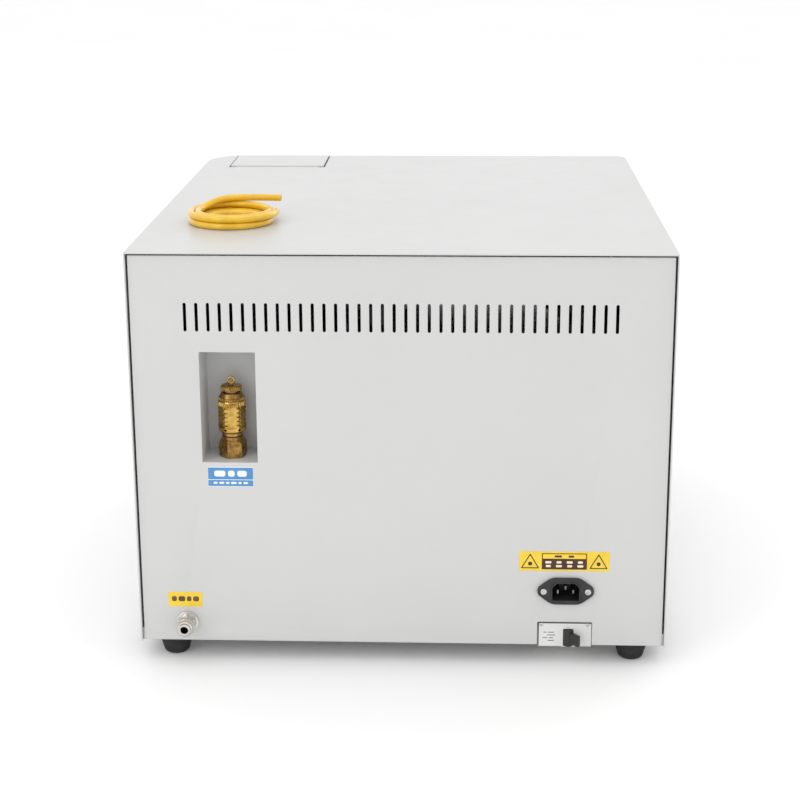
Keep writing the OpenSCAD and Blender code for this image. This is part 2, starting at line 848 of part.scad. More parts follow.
module door_cover() {
    color(steel_paint) difference() {
        translate([chamber_x, 0, chamber_z]) upright(door_back, door_t) round_rect(door_w, door_h, 16);
        translate([chamber_x, 0, chamber_z]) upright(door_back + 1, door_t + 1 - door_wall)
            round_rect(door_w - 2 * door_wall, door_h - 2 * door_wall, 13.5);
        for (z = hinge_zs)
            block([door_x0 - 1, frame_front - 4, z - 18], [door_x0 + door_wall + 1, door_back + 1, z + 18]);
        for (s = [-1, 1]) translate([chamber_x + s * bolt_dx, bolt_y, chamber_z + s * (door_h / 2 - 4) - 6])
            cylinder(r = bolt_r + 0.3, h = 12);
        bar_y(chamber_x, door_front - 1, chamber_z, spindle_r + 0.3, door_t);
    }
}

// Pressure plate with a groove for the seal
module door_plate() {
    color(stainless) difference() {
        bar_y(chamber_x, plate_front, chamber_z, plate_r, plate_t, 96);
        difference() {
            bar_y(chamber_x, door_back - 4, chamber_z, seal_out, 6, 96);
            bar_y(chamber_x, door_back - 5, chamber_z, seal_in, 8, 96);
        }
    }
}

module door_gasket() {
    color([0.85, 0.83, 0.78]) difference() {
        bar_y(chamber_x, door_back - 4, chamber_z, seal_out - 0.1, 5.6, 96);
        bar_y(chamber_x, door_back - 5, chamber_z, seal_in + 0.1, 8, 96);
    }
}

// Steel frame: a post on the plate, four hinge arms and the bolt guides
module door_frame() {
    color(inner_steel) difference() {
        union() {
            block([chamber_x - 32, frame_front, chamber_z - 140],
                [chamber_x + 32, plate_front, chamber_z + 140]);
            for (z = hinge_zs, s = [-1, 1]) {
                z0 = s > 0 ? z + hinge_half + 0.3 : z - hinge_half - 0.3 - arm_h;
                block([hinge_x, frame_front, z0], [chamber_x - 31, plate_front, z0 + arm_h]);
                translate([hinge_x, hinge_y, z0]) cylinder(r = hinge_r, h = arm_h);
            }
            for (s = [-1, 1])
                block([chamber_x + s * bolt_dx - 10, frame_front - 16, chamber_z + s * 126 - 8],
                    [chamber_x + s * bolt_dx + 10, frame_front + 1, chamber_z + s * 126 + 8]);
        }
        for (z = hinge_zs) translate([hinge_x, hinge_y, z - 20]) cylinder(r = hinge_pin_r + run, h = 40);
        for (s = [-1, 1]) translate([chamber_x + s * bolt_dx, bolt_y, chamber_z + s * 126 - 10])
            cylinder(r = bolt_r + run, h = 20);
        bar_y(chamber_x, frame_front - 1, chamber_z, spindle_r + run, 8);
    }
}

module door_handle() {
    y = door_front - 0.5;
    color([0.16, 0.17, 0.18]) difference() {
        union() {
            bar_y(chamber_x, y - 6, chamber_z, 24, 6, 64);
            translate([chamber_x, 0, chamber_z]) upright(y - 3, 12.5) {
                circle(r = 18);
                translate([0, -13]) square([110, 26]);
                translate([110, 0]) circle(r = 13);
            }
        }
        bar_y(chamber_x, y - 10, chamber_z, spindle_r, 12);
    }
}

// Spindle from the handle into the door frame, with the drive wheel of the bolts
module handle_spindle() {
    y = door_front - 10.5;
    color(stainless) {
        bar_y(chamber_x, y, chamber_z, spindle_r, plate_front - 0.3 - y);
        bar_y(chamber_x, bolt_y - 5, chamber_z, pinion_r, 10);
    }
}

// Round bolt that the drive wheel moves along Z; s is +1 for the upper one
module lock_bolt(s) {
    tail = 16;
    tip = door_h / 2 - 0.5;
    color(stainless) translate([chamber_x + s * bolt_dx, bolt_y, chamber_z]) mirror([0, 0, s > 0 ? 0 : 1]) {
        translate([0, 0, -tail]) cylinder(r = bolt_r, h = tip + tail - 2);
        translate([0, 0, tip - 2]) cylinder(r1 = bolt_r, r2 = bolt_r - 1.5, h = 2);
    }
}

// Blocks on the fascia that take the lock bolts
module lock_keepers() {
    color(inner_steel) for (s = [-1, 1]) {
        x = chamber_x + s * bolt_dx;
        z = chamber_z + s * (door_h / 2 + 2.5 + keeper_h / 2);
        difference() {
            block([x - 15, bolt_y - 10, z - keeper_h / 2], [x + 15, front_y, z + keeper_h / 2]);
            translate([x, bolt_y, z - keeper_h]) cylinder(r = bolt_r + 0.6, h = 2 * keeper_h);
        }
    }
}

module hinge_brackets() {
    color(inner_steel) for (z = hinge_zs) difference() {
        union() {
            translate([hinge_x, hinge_y, z - hinge_half]) cylinder(r = hinge_r, h = 2 * hinge_half);
            block([hinge_x - 5, hinge_y, z - hinge_half], [hinge_x + 5, front_y, z + hinge_half]);
            block([hinge_x - 5, front_y - 3, z - 22], [hinge_x + 5, front_y, z + 22]);
        }
        translate([hinge_x, hinge_y, z - 20]) cylinder(r = hinge_pin_r + 0.02, h = 40);
    }
}

module hinge_pins() {
    color(stainless) for (z = hinge_zs) translate([hinge_x, hinge_y, z - 18]) {
        cylinder(r = hinge_pin_r, h = 36);
        translate([0, 0, 36]) cylinder(r = hinge_pin_r + 1.5, h = 2);
    }
}

// ---------- hose ----------

module hose_coil() {
    inner = coil_r + hose_d / 2 - coil_turns * hose_d;
    color("gold") translate([coil_x, coil_y, top_z]) rotate_extrude($fn = 96) {
        translate([inner, 0]) square([coil_turns * hose_d, coil_layers * hose_d]);
    }
}

function tail_axis() = [for (p = tail_route) [coil_x + p.x, coil_y + p.y, coil_top + p.z]];

// Rings around a level route: each ring stands across the run of its neighbours
function route_points(line, r, sides) = [
    for (i = [0:len(line) - 1], j = [0:sides - 1])
        let (
            a = line[max(i - 1, 0)],
            b = line[min(i + 1, len(line) - 1)],
            d = (b - a) / norm(b - a),
            side = cross(d, [0, 0, 1]) / norm(cross(d, [0, 0, 1])),
            up = cross(side, d),
            t = 360 * j / sides
        )
        line[i] + r * (side * cos(t) + up * sin(t))
];

module hose_tail() {
    sides = 12;
    line = tail_axis();
    color("gold") polyhedron(
        route_points(line, hose_d / 2, sides), tube_faces(len(line) - 1, sides), convexity = 4
    );
}

base_pan();
top_cover();
rear_panel();
front_fascia();
valve_pocket();
for (i = [0:3])
    foot(i);
casing_screws();
tank_hatch();
hatch_hinge_pin();
hatch_brackets();
valve_base();
valve_body();
valve_cap();
valve_stem();
valve_spring();
valve_label();
drain_outlet();
drain_pipe();
drain_label();
mains_inlet();
inlet_blades();
fitting_screws();
hazard_label();
breaker_body();
breaker_toggle();
chamber();
chamber_insulation();
band_heater();
chamber_cradles();
tray_rack();
for (i = [0:tray_count - 1])
    tray(i);
water_tank();
water_pump();
solenoid_valves();
steam_pipe();
fan_frame();
fan_rotor();
control_board();
door_cover();
door_plate();
door_frame();
door_gasket();
door_handle();
handle_spindle();
lock_bolt(1);  // upper_lock_bolt
lock_bolt(-1);  // lower_lock_bolt
lock_keepers();
hinge_brackets();
hinge_pins();
display_window();
for (i = [0:2])
    button(i);
hose_coil();
hose_tail();
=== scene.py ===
"""Benchtop autoclave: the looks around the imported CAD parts. Lengths are written in millimetres and scaled once."""

from math import cos, degrees, exp, pi, radians, sin

import bmesh
import bpy
from mathutils import Matrix, Vector, noise


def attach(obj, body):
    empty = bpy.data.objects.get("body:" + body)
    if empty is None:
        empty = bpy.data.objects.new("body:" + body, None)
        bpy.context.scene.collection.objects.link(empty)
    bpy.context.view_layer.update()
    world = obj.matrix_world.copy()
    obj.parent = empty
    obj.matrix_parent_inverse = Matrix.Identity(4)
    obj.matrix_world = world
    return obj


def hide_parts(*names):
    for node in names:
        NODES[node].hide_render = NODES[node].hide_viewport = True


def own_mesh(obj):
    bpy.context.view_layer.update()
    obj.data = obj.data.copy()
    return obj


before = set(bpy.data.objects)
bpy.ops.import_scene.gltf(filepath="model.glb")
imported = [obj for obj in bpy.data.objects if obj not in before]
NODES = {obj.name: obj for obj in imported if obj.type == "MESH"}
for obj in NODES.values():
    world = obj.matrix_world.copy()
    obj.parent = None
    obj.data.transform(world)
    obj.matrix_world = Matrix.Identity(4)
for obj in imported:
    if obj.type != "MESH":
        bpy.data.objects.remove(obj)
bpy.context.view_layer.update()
scene = bpy.context.scene
MM, MICRON = 0.001, 0.000001
TAU = 2 * pi
UP, BACK, FORWARD = (0, 0, 1), (0, 1, 0), (0, -1, 0)

# Places shared with the CAD part, in millimetres
PANEL_Y, PANEL_BACK = 280.0, 278.8
TOP_Z, BASE_Z = 384.0, 18.0
POCKET_X, POCKET_Z, VALVE_Y = 152.7, 191.8, 259.0
DRAIN_X, DRAIN_Z = 196.7, 37.0
INLET_X, INLET_Z = -148.9, 72.0
BREAKER_X, BREAKER_Z, BREAKER_Y = -148.7, 28.4, 278.6
TOGGLE = (-152.2, 278.1, 25.4)
CHAMBER_X, CHAMBER_Z = -59.0, 212.0
COIL_X, COIL_Y = 162.0, 144.0
PANEL_CX = 151.0


def linked(name, data):
    """A new object in the scene."""
    obj = bpy.data.objects.new(name, data)
    scene.collection.objects.link(obj)
    return obj


def from_bmesh(name, bm):
    mesh = bpy.data.meshes.new(name)
    bm.to_mesh(mesh)
    bm.free()
    return linked(name, mesh)


# ---------- camera ----------

# Lens in millimetres, shift, place in metres, and yaw, pitch and roll in degrees
LENS, SHIFT, CAMERA_AT, CAMERA_TURN = 74.7, -0.1, (-0.058, 1.676, 0.693), (-2.38, 14.77, -0.28)


def make_camera():
    data = bpy.data.cameras.new("camera")
    data.lens, data.sensor_width, data.shift_y = LENS, 36.0, SHIFT
    data.clip_start, data.clip_end = 0.05, 60.0
    cam = linked("camera", data)
    yaw, pitch, roll = (radians(a) for a in CAMERA_TURN)
    ahead = Vector((-sin(yaw) * cos(pitch), -cos(yaw) * cos(pitch), -sin(pitch)))
    right = ahead.cross(Vector((0, 0, 1))).normalized()
    up = right.cross(ahead)
    side = right * cos(roll) + up * sin(roll)
    top = up * cos(roll) - right * sin(roll)
    turn = Matrix((side, top, -ahead)).transposed().to_4x4()
    cam.matrix_world = Matrix.Translation(CAMERA_AT) @ turn
    scene.camera = cam


# ---------- materials ----------


def shade(tree, kind, out, **sockets):
    """One output of a new shader node, whose sockets are set or linked. An underscore stands for a space."""
    n = tree.nodes.new("ShaderNode" + kind)
    fill(tree, n, sockets)
    return n.outputs[out]


def fill(tree, n, sockets):
    for key, value in sockets.items():
        socket = n.inputs[key.replace("_", " ")]
        if isinstance(value, bpy.types.NodeSocket):
            tree.links.new(value, socket)
        else:
            socket.default_value = value


def noise_node(tree, coords, scale, detail=3.0):
    return shade(tree, "TexNoise", "Fac", Scale=scale, Detail=detail, Roughness=0.55, Vector=coords)


def ramp_node(tree, fac, stops):
    n = tree.nodes.new("ShaderNodeValToRGB")
    for e, (place, colour) in zip(n.color_ramp.elements, stops):
        e.position, e.color = place, (*colour, 1)
    fill(tree, n, {"Fac": fac})
    return n.outputs["Color"]


def surface(name, dark, light, rough, swing, cloud, grain, depth=20, stretch=(1, 1, 1), spread=(0.35, 0.65), cells=0,
        cell_depth=0, **sockets):
    """A Principled surface with clouded colour, uneven gloss and a fine bumpy grain. Depths are in micrometres.
    stretch scales the grain's coordinates, so a small number along an axis draws it out that way."""
    m = bpy.data.materials.new(name)
    m.use_nodes = True
    tree = m.node_tree
    shader = tree.nodes["Principled BSDF"]
    coords = shade(tree, "TexCoord", "Object")
    drawn_out = shade(tree, "Mapping", "Vector", Scale=stretch, Vector=coords)
    clouds = noise_node(tree, coords, cloud, 4.0)
    colour = ramp_node(tree, clouds, ((spread[0], dark), (spread[1], light)))
    fine = noise_node(tree, drawn_out, grain)
    mottle = noise_node(tree, drawn_out, max(cloud * 4, 40.0))
    gloss = shade(tree, "MapRange", "Result", From_Min=0.3, From_Max=0.7, To_Min=max(0.02, rough - swing),
        To_Max=min(1.0, rough + swing), Value=mottle)
    normal = shade(tree, "Bump", "Normal", Strength=1.0, Distance=depth * MICRON, Height=fine)
    if cells:
        edges = shade(tree, "TexVoronoi", "Distance", Scale=cells, Vector=coords)
        normal = shade(tree, "Bump", "Normal", Strength=1.0, Distance=cell_depth * MICRON, Height=edges,
            Normal=normal)
    fill(tree, shader, {"Base Color": colour, "Roughness": gloss, "Normal": normal, **sockets})
    return m


def grey(v, warm=0.0):
    return (v, v * (1 - warm * 0.3), v * (1 - warm))


# The CAD slots' finishes: dark and light colour, roughness and its swing, cloud and grain scale, grain depth
MATERIALS = {
    "casing_paint": surface("powder_coat", (0.588, 0.592, 0.584), (0.606, 0.610, 0.602), 0.34, 0.04, 5, 1500, 12,
        Specular_IOR_Level=0.45, Coat_Weight=0.12, Coat_Roughness=0.22),
    "galvanised_steel": surface("zinc_plate", grey(0.42), grey(0.62), 0.38, 0.12, 60, 900, cells=140, cell_depth=10,
        Metallic=1.0),
    "screw_steel": surface("machined_steel", grey(0.5), grey(0.68), 0.24, 0.08, 200, 2500, 10, Metallic=1.0),
    "stainless_steel": surface("satin_stainless", grey(0.60, 0.02), grey(0.66, 0.03), 0.26, 0.05, 14, 900, 8,
        stretch=(1, 0.03, 1), Metallic=1.0),
    "valve_brass": surface("turned_brass", (0.36, 0.20, 0.04), (0.70, 0.47, 0.13), 0.2, 0.08, 160, 2600, 18,
        stretch=(0.12, 0.12, 1), spread=(0.3, 0.66), Metallic=1.0),
    "nickel_plate": surface("nickel", (0.52, 0.50, 0.46), (0.72, 0.70, 0.66), 0.14, 0.06, 70, 2200, 8, Metallic=1.0),
    "copper_pipe": surface("copper", (0.42, 0.17, 0.09), (0.82, 0.42, 0.26), 0.26, 0.1, 45, 900, 10, Metallic=1.0),
    "black_plastic": surface("moulded_black", grey(0.012), grey(0.024), 0.42, 0.08, 60, 2600, 12),
    "foot_rubber": surface("rubber", grey(0.012), grey(0.03), 0.68, 0.1, 80, 1500, 40),
    "breaker_grey": surface("moulded_grey", (0.66, 0.66, 0.64), (0.74, 0.74, 0.72), 0.45, 0.07, 40, 2200, 10),
    "label_blue": surface("print_blue", (0.06, 0.24, 0.53), (0.08, 0.29, 0.60), 0.3, 0.05, 70, 1800, 6,
        Coat_Weight=0.3),
    "label_yellow": surface("print_yellow", (0.82, 0.55, 0.02), (0.90, 0.64, 0.04), 0.34, 0.05, 70, 1800, 6,
        Coat_Weight=0.3),
    "hose_yellow": surface("hose_yellow", (0.76, 0.43, 0.008), (0.88, 0.55, 0.02), 0.16, 0.05, 60, 600, 10,
        Coat_Weight=0.5, Coat_Roughness=0.08),
    "hose_clear": surface("silicone_tube", (0.62, 0.64, 0.62), (0.72, 0.74, 0.72), 0.22, 0.05, 30, 800,
        Transmission_Weight=0.35, IOR=1.41),
    "insulation_felt": surface("felt", (0.60, 0.55, 0.42), (0.74, 0.70, 0.58), 0.95, 0.04, 55, 700, 400, cells=900,
        cell_depth=100, Sheen_Weight=0.35),
    "heater_jacket": surface("foil", grey(0.40, 0.05), grey(0.62, 0.05), 0.34, 0.12, 50, 260, 120, Metallic=1.0),
    "tank_plastic": surface("tank_plastic", (0.62, 0.68, 0.70), (0.70, 0.76, 0.78), 0.4, 0.06, 20, 900, 30,
        Transmission_Weight=0.25),
    "pump_metal": surface("pump_paint", grey(0.035), grey(0.06), 0.46, 0.1, 50, 1200, 30),
    "circuit_board": surface("solder_mask", (0.01, 0.10, 0.035), (0.02, 0.15, 0.05), 0.3, 0.06, 120, 900, 10,
        Coat_Weight=0.4),
    "silicone": surface("silicone", (0.66, 0.62, 0.52), (0.74, 0.70, 0.60), 0.5, 0.06, 60, 1200,
        Subsurface_Weight=0.1),
    "handle_plastic": surface("handle_plastic", (0.03, 0.034, 0.04), (0.045, 0.05, 0.056), 0.44, 0.08, 40, 2200, 25),
    "display_glass": surface("display_glass", (0.006, 0.010, 0.014), (0.010, 0.016, 0.022), 0.08, 0.03, 40, 500, 2,
        Coat_Weight=0.6),
    "button_plastic": surface("button_plastic", (0.06, 0.11, 0.18), (0.09, 0.15, 0.23), 0.3, 0.05, 80, 2200, 10,
        Coat_Weight=0.3),
}
# Finishes of details that have no slot of their own
EXTRA = {m.name: m for m in (
    surface("film_white", (0.80, 0.82, 0.82), (0.86, 0.88, 0.88), 0.32, 0.05, 60, 1600, 6, Coat_Weight=0.2),
    surface("ink_black", grey(0.015), grey(0.03), 0.4, 0.05, 90, 1800, 5),
    surface("ink_maroon", (0.055, 0.012, 0.007), (0.08, 0.018, 0.01), 0.4, 0.05, 90, 1800, 5),
    # Near-black brown, metallic: painted shade for the valve's grooves and joints.
    surface("painted_groove_shade", (0.03, 0.014, 0.006), (0.13, 0.06, 0.022), 0.5, 0.1, 300, 1800, Metallic=0.8),
    surface("aged_brass", (0.20, 0.105, 0.028), (0.46, 0.28, 0.085), 0.26, 0.1, 180, 2600, spread=(0.32, 0.64),
        Metallic=1.0),
    surface("inlet_metal", grey(0.20), grey(0.30), 0.3, 0.08, 120, 1500, Metallic=1.0),
    surface("ink_brown", (0.10, 0.055, 0.01), (0.15, 0.08, 0.015), 0.4, 0.05, 90, 1800, 5),
    surface("ink_pale", (0.80, 0.72, 0.50), (0.90, 0.82, 0.60), 0.4, 0.05, 90, 1800, 5),
    surface("ink_grey", grey(0.16), grey(0.22), 0.45, 0.05, 90, 1800, 5),
    # Near-black: painted shade for the foot of a bore.
    surface("painted_bore_shade", grey(0.004), grey(0.01), 0.7, 0.05, 90, 900),
    surface("glow", (0.02, 0.35, 0.5), (0.03, 0.45, 0.6), 0.4, 0.05, 90, 900, Emission_Color=(0.15, 0.8, 1.0, 1),
        Emission_Strength=2.5),
    surface("strap_steel", grey(0.5), grey(0.66), 0.3, 0.08, 40, 1500, 10, Metallic=1.0),
    surface("coil_black", grey(0.02), grey(0.035), 0.5, 0.06, 60, 1500),
    surface("relay_blue", (0.02, 0.09, 0.26), (0.03, 0.12, 0.32), 0.4, 0.05, 80, 1200),
    surface("tinned", grey(0.55), grey(0.75), 0.25, 0.08, 200, 1500, Metallic=1.0),
)}


def material(name):
    return MATERIALS[name] if name in MATERIALS else EXTRA[name]


# ---------- mesh tools ----------


def place(obj, mat, body="root", nodes=(), slot=None):
    """Gives a finished piece its material, its body and the CAD nodes it stands for."""
    obj.data.materials.clear()
    obj.data.materials.append(material(mat))
    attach(obj, body)
    if nodes:
        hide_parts(*nodes)
    return obj


def as_object(name, bm, sharp=32.0):
    """Turns a bmesh in millimetres into an object in metres, with edges sharper than `sharp` degrees kept."""
    bmesh.ops.recalc_face_normals(bm, faces=bm.faces)
    bmesh.ops.scale(bm, vec=(MM, MM, MM), verts=bm.verts)
    obj = from_bmesh(name, bm)
    soften(obj.data, sharp)
    return obj


def soften(mesh, sharp=32.0):
    mesh.shade_smooth()
    mesh.set_sharp_from_angle(angle=radians(sharp))


def applied(obj):
    """Applies an object's modifiers to its mesh."""
    bpy.context.view_layer.update()
    graph = bpy.context.evaluated_depsgraph_get()
    mesh = bpy.data.meshes.new_from_object(obj.evaluated_get(graph))
    obj.modifiers.clear()
    obj.data = mesh
    return obj


def cut(obj, cutters, sharp=32.0):
    """Takes the cutters' shapes out of obj, and removes them."""
    for c in cutters:
        mod = obj.modifiers.new("cut", "BOOLEAN")
        mod.operation, mod.solver, mod.object = "DIFFERENCE", "EXACT", c
    soften(applied(obj).data, sharp)
    for c in cutters:
        bpy.data.objects.remove(c)
    return obj


def crisp(name, node, width, segments=2):
    """A copy of a CAD node's mesh with every hard edge rounded to `width` millimetres."""
    mesh = NODES[node].data.copy()
    mesh.name = name
    bm = bmesh.new()
    bm.from_mesh(mesh)
    bmesh.ops.remove_doubles(bm, verts=bm.verts, dist=0.000004)
    bmesh.ops.dissolve_limit(bm, angle_limit=radians(0.4), verts=bm.verts, edges=bm.edges)
    bm.to_mesh(mesh)
    bm.free()
    soften(mesh)
    obj = linked(name, mesh)
    mod = obj.modifiers.new("round", "BEVEL")
    mod.width, mod.segments, mod.limit_method = width * MM, segments, "ANGLE"
    mod.angle_limit = radians(30.0)
    mod.use_clamp_overlap = True
    even = obj.modifiers.new("even", "WEIGHTED_NORMAL")
    even.mode, even.keep_sharp = "FACE_AREA", True
    return applied(obj)


def keep(node, name, width, mat, body="root", segments=2):
    """A CAD node's own shape with its edges rounded, under a piece name."""
    return place(crisp(name, node, width, segments), mat, body, (node,))


def join(name, objects):
    """One object out of several that share a material, with each one's mesh kept."""
    bm = bmesh.new()
    for o in objects:
        bm.from_mesh(o.data)
        bpy.data.objects.remove(o)
    obj = from_bmesh(name, bm)
    soften(obj.data)
    return obj


def unit(name, parts, mat, body="root", nodes=(), slot=None):
    """One finished piece out of several meshes."""
    return place(join(name, parts), mat, body, nodes, slot)


def axes(direction):
    """Two directions across a given one."""
    d = Vector(direction).normalized()
    side = Vector((0, 0, 1)) if abs(d.z) < 0.9 else Vector((1, 0, 0))
    u = side.cross(d).normalized()
    return u, d.cross(u), d


def bridge(bm, a, b):
    """Faces from one ring of vertices to the next, where one of them may be a single point."""
    n = max(len(a), len(b))
    for i in range(n if n > 1 else 0):
        j = (i + 1) % n
        if len(a) == 1:
            bm.faces.new((a[0], b[j], b[i]))
        elif len(b) == 1:
            bm.faces.new((a[i], a[j], b[0]))
        else:
            bm.faces.new((a[i], a[j], b[j], b[i]))


def polar(name, start, direction, rings, sides=64, sharp=32.0):
    """A turned shape: rings are (height, radius), where a radius may be a function of the angle. The last ring joins
    the first, which leaves a hole along the axis unless both have no radius."""
    u, v, d = axes(direction)
    start = Vector(start)
    bm = bmesh.new()
    loops = []
    for h, r in rings:
        if not callable(r) and r <= 0:
            loops.append([bm.verts.new(start + d * h)])
            continue
        loop = []
        for i in range(sides):
            a = TAU * i / sides
            size = r(a) if callable(r) else r
            loop.append(bm.verts.new(start + d * h + (u * cos(a) + v * sin(a)) * size))
        loops.append(loop)
    for a, b in zip(loops, loops[1:] + loops[:1]):
        bridge(bm, a, b)
    return as_object(name, bm, sharp)


def elbow(before, corner, after, radius, steps, share=0.45):
    """Points on the curve that rounds one corner."""
    reach = min(radius, (before - corner).length * share, (after - corner).length * share)
    p, q = corner + (before - corner).normalized() * reach, corner + (after - corner).normalized() * reach
    return [p * (1 - t) ** 2 + corner * 2 * t * (1 - t) + q * t * t for t in (k / steps for k in range(steps + 1))]


def drill(at, direction, radius, length, sides):
    """A plain cylinder, to cut out a round hole."""
    rings = [(0, 0), (0, radius), (length, radius), (length, 0)]
    return polar("cutter", at, direction, rings, sides)


def rounded(points, radius, steps=4):
    """An open (height, radius) profile with its inner corners rounded."""
    out = [points[0]]
    for i in range(1, len(points) - 1):
        a, b, c = Vector(points[i - 1]), Vector(points[i]), Vector(points[i + 1])
        r = radius[i] if isinstance(radius, list) else radius
        if min(r, (a - b).length * 0.45, (c - b).length * 0.45) < 0.02:
            out.append(tuple(b))
        else:
            out += [tuple(q) for q in elbow(a, b, c, r, steps)]
    out.append(points[-1])
    return out


def inset(loop, by):
    """Moves a closed 2-D loop into the material, which lies on its left."""
    n, out = len(loop), []
    for i in range(n):
        a, b, c = Vector(loop[i - 1]), Vector(loop[i]), Vector(loop[(i + 1) % n])
        e, f = (b - a).normalized(), (c - b).normalized()
        m, k = Vector((-e.y, e.x)), Vector((-f.y, f.x))
        out.append(b + (m + k) * (by / max(0.35, 1 + m.dot(k))))
    return out


def plate(name, outer, holes, low, high, to_world, front=0.3, back=0.1, hole_edge=0.2, steps=3, sharp=32.0):
    """A flat plate with holes and rounded edges. All outlines run anticlockwise.
    to_world maps (u, v, height) to a place in the row frame."""
    bm = bmesh.new()
    caps = {"low": [], "high": []}
    for loop, edge in [(outer, front)] + [(h[::-1], hole_edge) for h in holes]:
        rows = []
        for k in range(steps + 1 if back > 0 else 1):
            a = pi / 2 * k / steps
            e = min(back, edge)
            rows.append((e * (1 - sin(a)), low + e * (1 - cos(a))))
        for k in range(steps + 1 if edge > 0 else 1):
            a = pi / 2 * k / steps
            rows.append((edge * (1 - cos(a)), high - edge * (1 - sin(a))))
        rings = [[bm.verts.new(to_world(p.x, p.y, h)) for p in inset(loop, d)] for d, h in rows]
        for a, b in zip(rings, rings[1:]):
            bridge(bm, a, b)
        caps["low"].append(rings[0])
        caps["high"].append(rings[-1])
    for rings in caps.values():
        if len(rings) == 1:
            bm.faces.new(rings[0])
            continue
        edges = []
        for r in rings:
            for i in range(len(r)):
                edges.append(bm.edges.get((r[i], r[(i + 1) % len(r)])))
        bmesh.ops.triangle_fill(bm, edges=edges, use_beauty=True, use_dissolve=False)
    return as_object(name, bm, sharp)


def to_rear(u, v, h):
    return (u, h, v)


def to_front(u, v, h):
    return (u, -h, v)


def to_top(u, v, h):
    return (u, v, h)


def arc(cx, cy, r, start, end, steps):
    return [(cx + r * cos(radians(start + (end - start) * k / steps)),
        cy + r * sin(radians(start + (end - start) * k / steps))) for k in range(steps + 1)]


def oblong(cx, cy, w, h, r, steps=6):
    """An anticlockwise rectangle with round corners."""
    x, y = w / 2 - r, h / 2 - r
    return (arc(cx + x, cy - y, r, -90, 0, steps) + arc(cx + x, cy + y, r, 0, 90, steps)
        + arc(cx - x, cy + y, r, 90, 180, steps) + arc(cx - x, cy - y, r, 180, 270, steps))


def circle(cx, cy, r, steps=32):
    return arc(cx, cy, r, 0, 360 - 360 / steps, steps - 1)


def smooth_corners(loop, radius, steps=5):
    """Rounds the corners of a closed polygon."""
    n, out = len(loop), []
    for i in range(n):
        a, b, c = Vector(loop[i - 1]), Vector(loop[i]), Vector(loop[(i + 1) % n])
        out += [tuple(q) for q in elbow(a, b, c, radius, steps)]
    return out


def box(a, b, edge=0.5, segments=2, name="part"):
    """A block between two corners with rounded edges."""
    a, b = Vector(a), Vector(b)
    bm = bmesh.new()
    bmesh.ops.create_cube(bm, size=1.0)
    size = b - a
    for v in bm.verts:
        v.co = Vector((v.co.x * size.x, v.co.y * size.y, v.co.z * size.z)) + (a + b) / 2
    if edge > 0:
        bmesh.ops.bevel(bm, geom=bm.edges[:], offset=edge, segments=segments, profile=0.5, affect="EDGES")
    return as_object(name, bm)


def sweep(points, radius, sides=16, hollow=0.0, depth=0.0):
    """A bmesh tube along points. With hollow, each end has a bore of that radius and depth."""
    line = [Vector(p) for p in points]
    bm = bmesh.new()
    rings = []
    side = None
    for i, p in enumerate(line):
        d = (line[min(i + 1, len(line) - 1)] - line[max(i - 1, 0)]).normalized()
        if side is None:
            side = axes(d)[0]
        side = (side - d * side.dot(d)).normalized()
        up = d.cross(side)
        rings.append((p, d, side, up))

    def ring(frame_at, r, shift=0.0):
        p, d, s, u = frame_at
        return [bm.verts.new(p + d * shift + (s * cos(TAU * k / sides) + u * sin(TAU * k / sides)) * r)
            for k in range(sides)]

    loops = [ring(f, radius) for f in rings]
    for a, b in zip(loops, loops[1:]):
        bridge(bm, a, b)
    for loop, at, sign in ((loops[0], rings[0], 1), (loops[-1], rings[-1], -1)):
        if hollow > 0:
            mouth = ring(at, hollow)
            bottom = ring(at, hollow, sign * depth)
            bridge(bm, loop, mouth)
            bridge(bm, mouth, bottom)
            bm.faces.new(bottom)
        else:
            bm.faces.new(loop)
    return bm


def bend(points, radius, steps=8):
    """A polyline with round elbows."""
    out = [Vector(points[0])]
    for i in range(1, len(points) - 1):
        a, b, c = (Vector(points[k]) for k in (i - 1, i, i + 1))
        out += elbow(a, b, c, radius, steps, 0.48)
    out.append(Vector(points[-1]))
    return out


def cross_cutter(at, direction, reach, width, depth, turn):
    """The shape of a cross recess, to cut out of a screw head."""
    u, v, d = axes(direction)
    c, s = cos(turn), sin(turn)
    u, v = u * c + v * s, v * c - u * s
    at = Vector(at)
    w = width / 2
    outline = [(w, w), (reach, w), (reach, -w), (w, -w), (w, -reach), (-w, -reach), (-w, -w), (-reach, -w),
        (-reach, w), (-w, w), (-w, reach), (w, reach)]
    bm = bmesh.new()
    rings = [[bm.verts.new(at + (u * p[0] + v * p[1]) * k + d * h) for p in outline]
        for h, k in ((0.6, 1.15), (-depth, 0.55))]
    bridge(bm, *rings)
    bm.faces.new(rings[0])
    bm.faces.new(rings[1])
    return as_object("cutter", bm)


def screw(at, direction, r, h, turn=0.3, shank=0.0, shank_r=1.0):
    """A pan-head screw whose head rises h from `at`, with a cross recess."""
    rings = [(0, 0.0), (0, r * 0.97)] + rounded([(0, r * 0.97), (h * 0.35, r), (h * 0.8, r * 0.8), (h, 0.001)],
        r * 0.35, 4)[1:-1] + [(h, 0.0)]
    if shank:
        rings = [(-shank, 0.0), (-shank, shank_r), (0, shank_r)] + rings[1:]
    head = polar("screw", at, direction, rings, 28)
    top = Vector(at) + Vector(direction).normalized() * h
    return cut(head, [cross_cutter(top, direction, r * 0.55, r * 0.22, h * 0.6, turn)])


# ---------- hose ----------

# Radii of the hose and of its innermost turn, and the angles in degrees through which it is wound
HOSE_R, COIL_R, HOSE_FROM, HOSE_TO, HOSE_STEPS = 3.25, 27, 32, 1640, 240


def ease(angle, start, span=90.0):
    t = min(max((angle - start) / span, 0.0), 1.0)
    return t * t * (3 - 2 * t)


